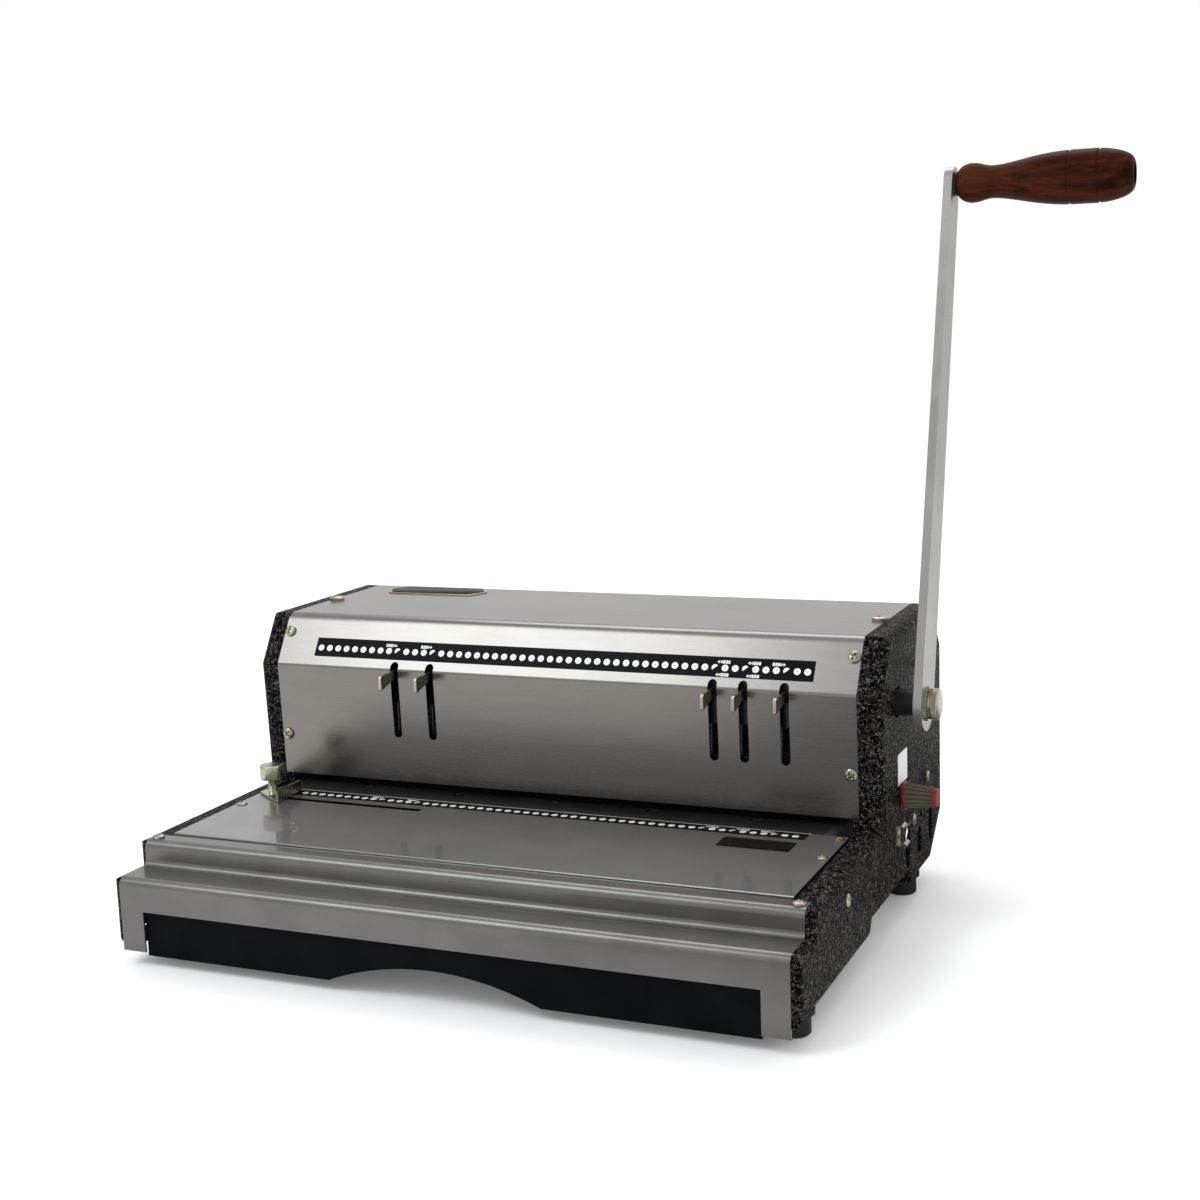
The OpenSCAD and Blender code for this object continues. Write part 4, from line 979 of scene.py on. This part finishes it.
@dataclass
class PaperGuides:
    """Edge guide with its thumbscrew, and the depth knob with its gauge.

    The screw's heights are its foot, its shoulder, the underside of its head and the head's rim.
    """

    thumb_at: Pair = (-179.0, 126.0)
    screw_z: tuple[float, float, float, float] = (62.4, 70.6, 80.8, 89.9)
    stem: float = 1.95
    neck: float = 2.95
    rim: float = 6.6
    crown: float = 0.3
    thread_sides: int = 32
    thread_rows: int = 8
    knob_at: Triple = (211.9, 206.0, 78.5)
    knob_long: float = 15.8
    knob_base: float = 7.75
    knob_taper: float = 1.9
    knob_bore: float = 3.1
    flutes: int = 16
    flute_steps: int = 16
    flute_deep: float = 1.15
    flute_gap: float = 0.1
    flute_fade: float = 0.02

    def thread(self, radius: float, low: float, high: float, pitch: float, deep: float) -> Surface:
        """A threaded stem: the radius falls with the distance from the thread's crest.

        That distance is the height over the pitch, less the turn's share of a full turn.

        Args:
            radius: radius of the crest.
            low: height of the lower end.
            high: height of the upper end.
            pitch: height of one turn.
            deep: depth of the thread.
        Returns:
            The open stem.
        """
        rise = np.linspace(low, high, int((high - low) / pitch * self.thread_rows))
        turn = np.linspace(0, 2 * math.pi, self.thread_sides, endpoint=False)
        phase = rise[:, None] / pitch - turn[None] / (2 * math.pi)
        wave = -2 * deep * np.abs(phase - np.floor(phase) - 0.5)
        return lathe(np.stack([np.full_like(rise, radius), rise], -1), self.thread_sides, wave)

    def thumbscrew(self) -> None:
        """A turned thumbscrew: a smooth head with broken edges and a low crown over a threaded shank."""
        foot, shoulder, under, top = self.screw_z
        side = [[3.0, under], [self.rim, under], [7.1, 81.0], [7.4, 81.4], [7.5, 81.9], [7.5, 89.0],
                [7.4, 89.4], [7.1, 89.75], [self.rim, top]]
        out = 1 - np.linspace(0, 1, 8)[1:]
        crown = np.stack([self.rim * out, top + self.crown * (1 - out ** 2)], -1)
        steps = [lathe(np.array(rows), self.thread_sides) for rows in (
            [[0, foot], [self.stem, foot]], [[self.stem, shoulder], [self.neck, shoulder]])]
        shape = joined([steps[0], self.thread(self.stem, foot, shoulder, pitch=0.7, deep=0.3),
                        steps[1], self.thread(self.neck, shoulder, under, pitch=1.1, deep=0.4),
                        lathe(np.concatenate([side, crown]), turns=72)])
        add_piece("thumbscrew_fine", shape.placed((*self.thumb_at, 0.0), RIGHT, UP), "clamp_screw",
                  Coat.NICKEL, nodes=("thumbscrew",))

    def knob(self) -> None:
        """The knob's tapered body: a flute takes off the root of a cosine's crest, less towards the tip."""
        turn = np.linspace(0, 2 * math.pi, self.flute_steps * self.flutes, endpoint=False)
        trough = np.clip(np.cos(self.flutes * turn) - self.flute_gap, 0, None) ** 0.5
        rise = np.linspace(0, self.knob_long, 12)
        out = np.stack([self.knob_base - self.knob_taper * rise / self.knob_long, rise], -1)
        ends = np.array([[5.5, self.knob_long], [self.knob_bore, self.knob_long], [self.knob_bore, 0.0],
                         [self.knob_base, 0.0]])
        deep = np.concatenate([self.flute_deep - self.flute_fade * rise, [0.5, 0, 0, self.flute_deep]])
        shape = lathe(np.concatenate([out, ends]), len(turn), -deep[:, None] * trough[None])
        add_piece("knob_body_fine", shape.placed(self.knob_at, DOWN, RIGHT), "knob", Coat.KNOB_GREY,
                  nodes=("knob_body",), angle=50.0)

    def build(self) -> None:
        """Dresses the guide's and the knob's solids and adds the thumbscrew and the knob's body."""
        dress({"edge_guide": Coat.NICKEL, "guide_nut": Coat.TOOL_STEEL, "knob_spindle": Coat.BLACK_OXIDE,
               "knob_ring": Coat.KNOB_RED, "knob_cap": Coat.KNOB_RED, "depth_gauge": Coat.BLACK_OXIDE})
        self.thumbscrew()
        self.knob()


@dataclass
class ChipDrawer:
    """Drawer for punched chips and its rails. The arch is its half width and its height."""

    half: float = 187.2
    low: float = 6.5
    high: float = 32.9
    seat: float = 4.3
    thick: float = 2.5
    edge: float = 0.3
    arch: Pair = (65.0, 13.0)
    arch_points: int = 49

    def front(self) -> None:
        """The drawer's front: a plate with a finger arch, a circle's arc between two corners, below."""
        reach, rise = self.arch
        radius = (reach ** 2 + rise ** 2) / (2 * rise)
        x = np.linspace(-reach, reach, self.arch_points)
        arc = np.stack([x, self.low + rise - radius + np.sqrt(radius ** 2 - x ** 2)], -1)
        corners = np.array([[self.half, self.low], [self.half, self.high], [-self.half, self.high],
                            [-self.half, self.low]])
        inward = self.edge * np.array([[-1, 1], [-1, -1], [1, -1], [1, 1]])
        inner = np.concatenate([corners + inward, arc + [0, self.edge]])
        shape = slab(np.concatenate([corners, arc]), inner, self.thick, self.edge)
        add_piece("drawer_front_fine", shape.placed((0.0, self.seat, 0.0), RIGHT, AHEAD), "drawer",
                  Coat.DRAWER_BLACK, nodes=("drawer_front",))

    def build(self) -> None:
        """Dresses the drawer's solids and adds its front."""
        dress({"drawer_tray": Coat.DRAWER_BLACK, "drawer_rails": Coat.FRAME_STEEL})
        self.front()


def main() -> None:
    """Builds the studio and the sub-assemblies."""
    logging.basicConfig(level=logging.INFO, format="%(message)s")
    for part in (Studio(), Body(), PunchHead(), LeverArm(), PaperGuides(), ChipDrawer()):
        part.build()


if __name__ == "__main__":
    main()
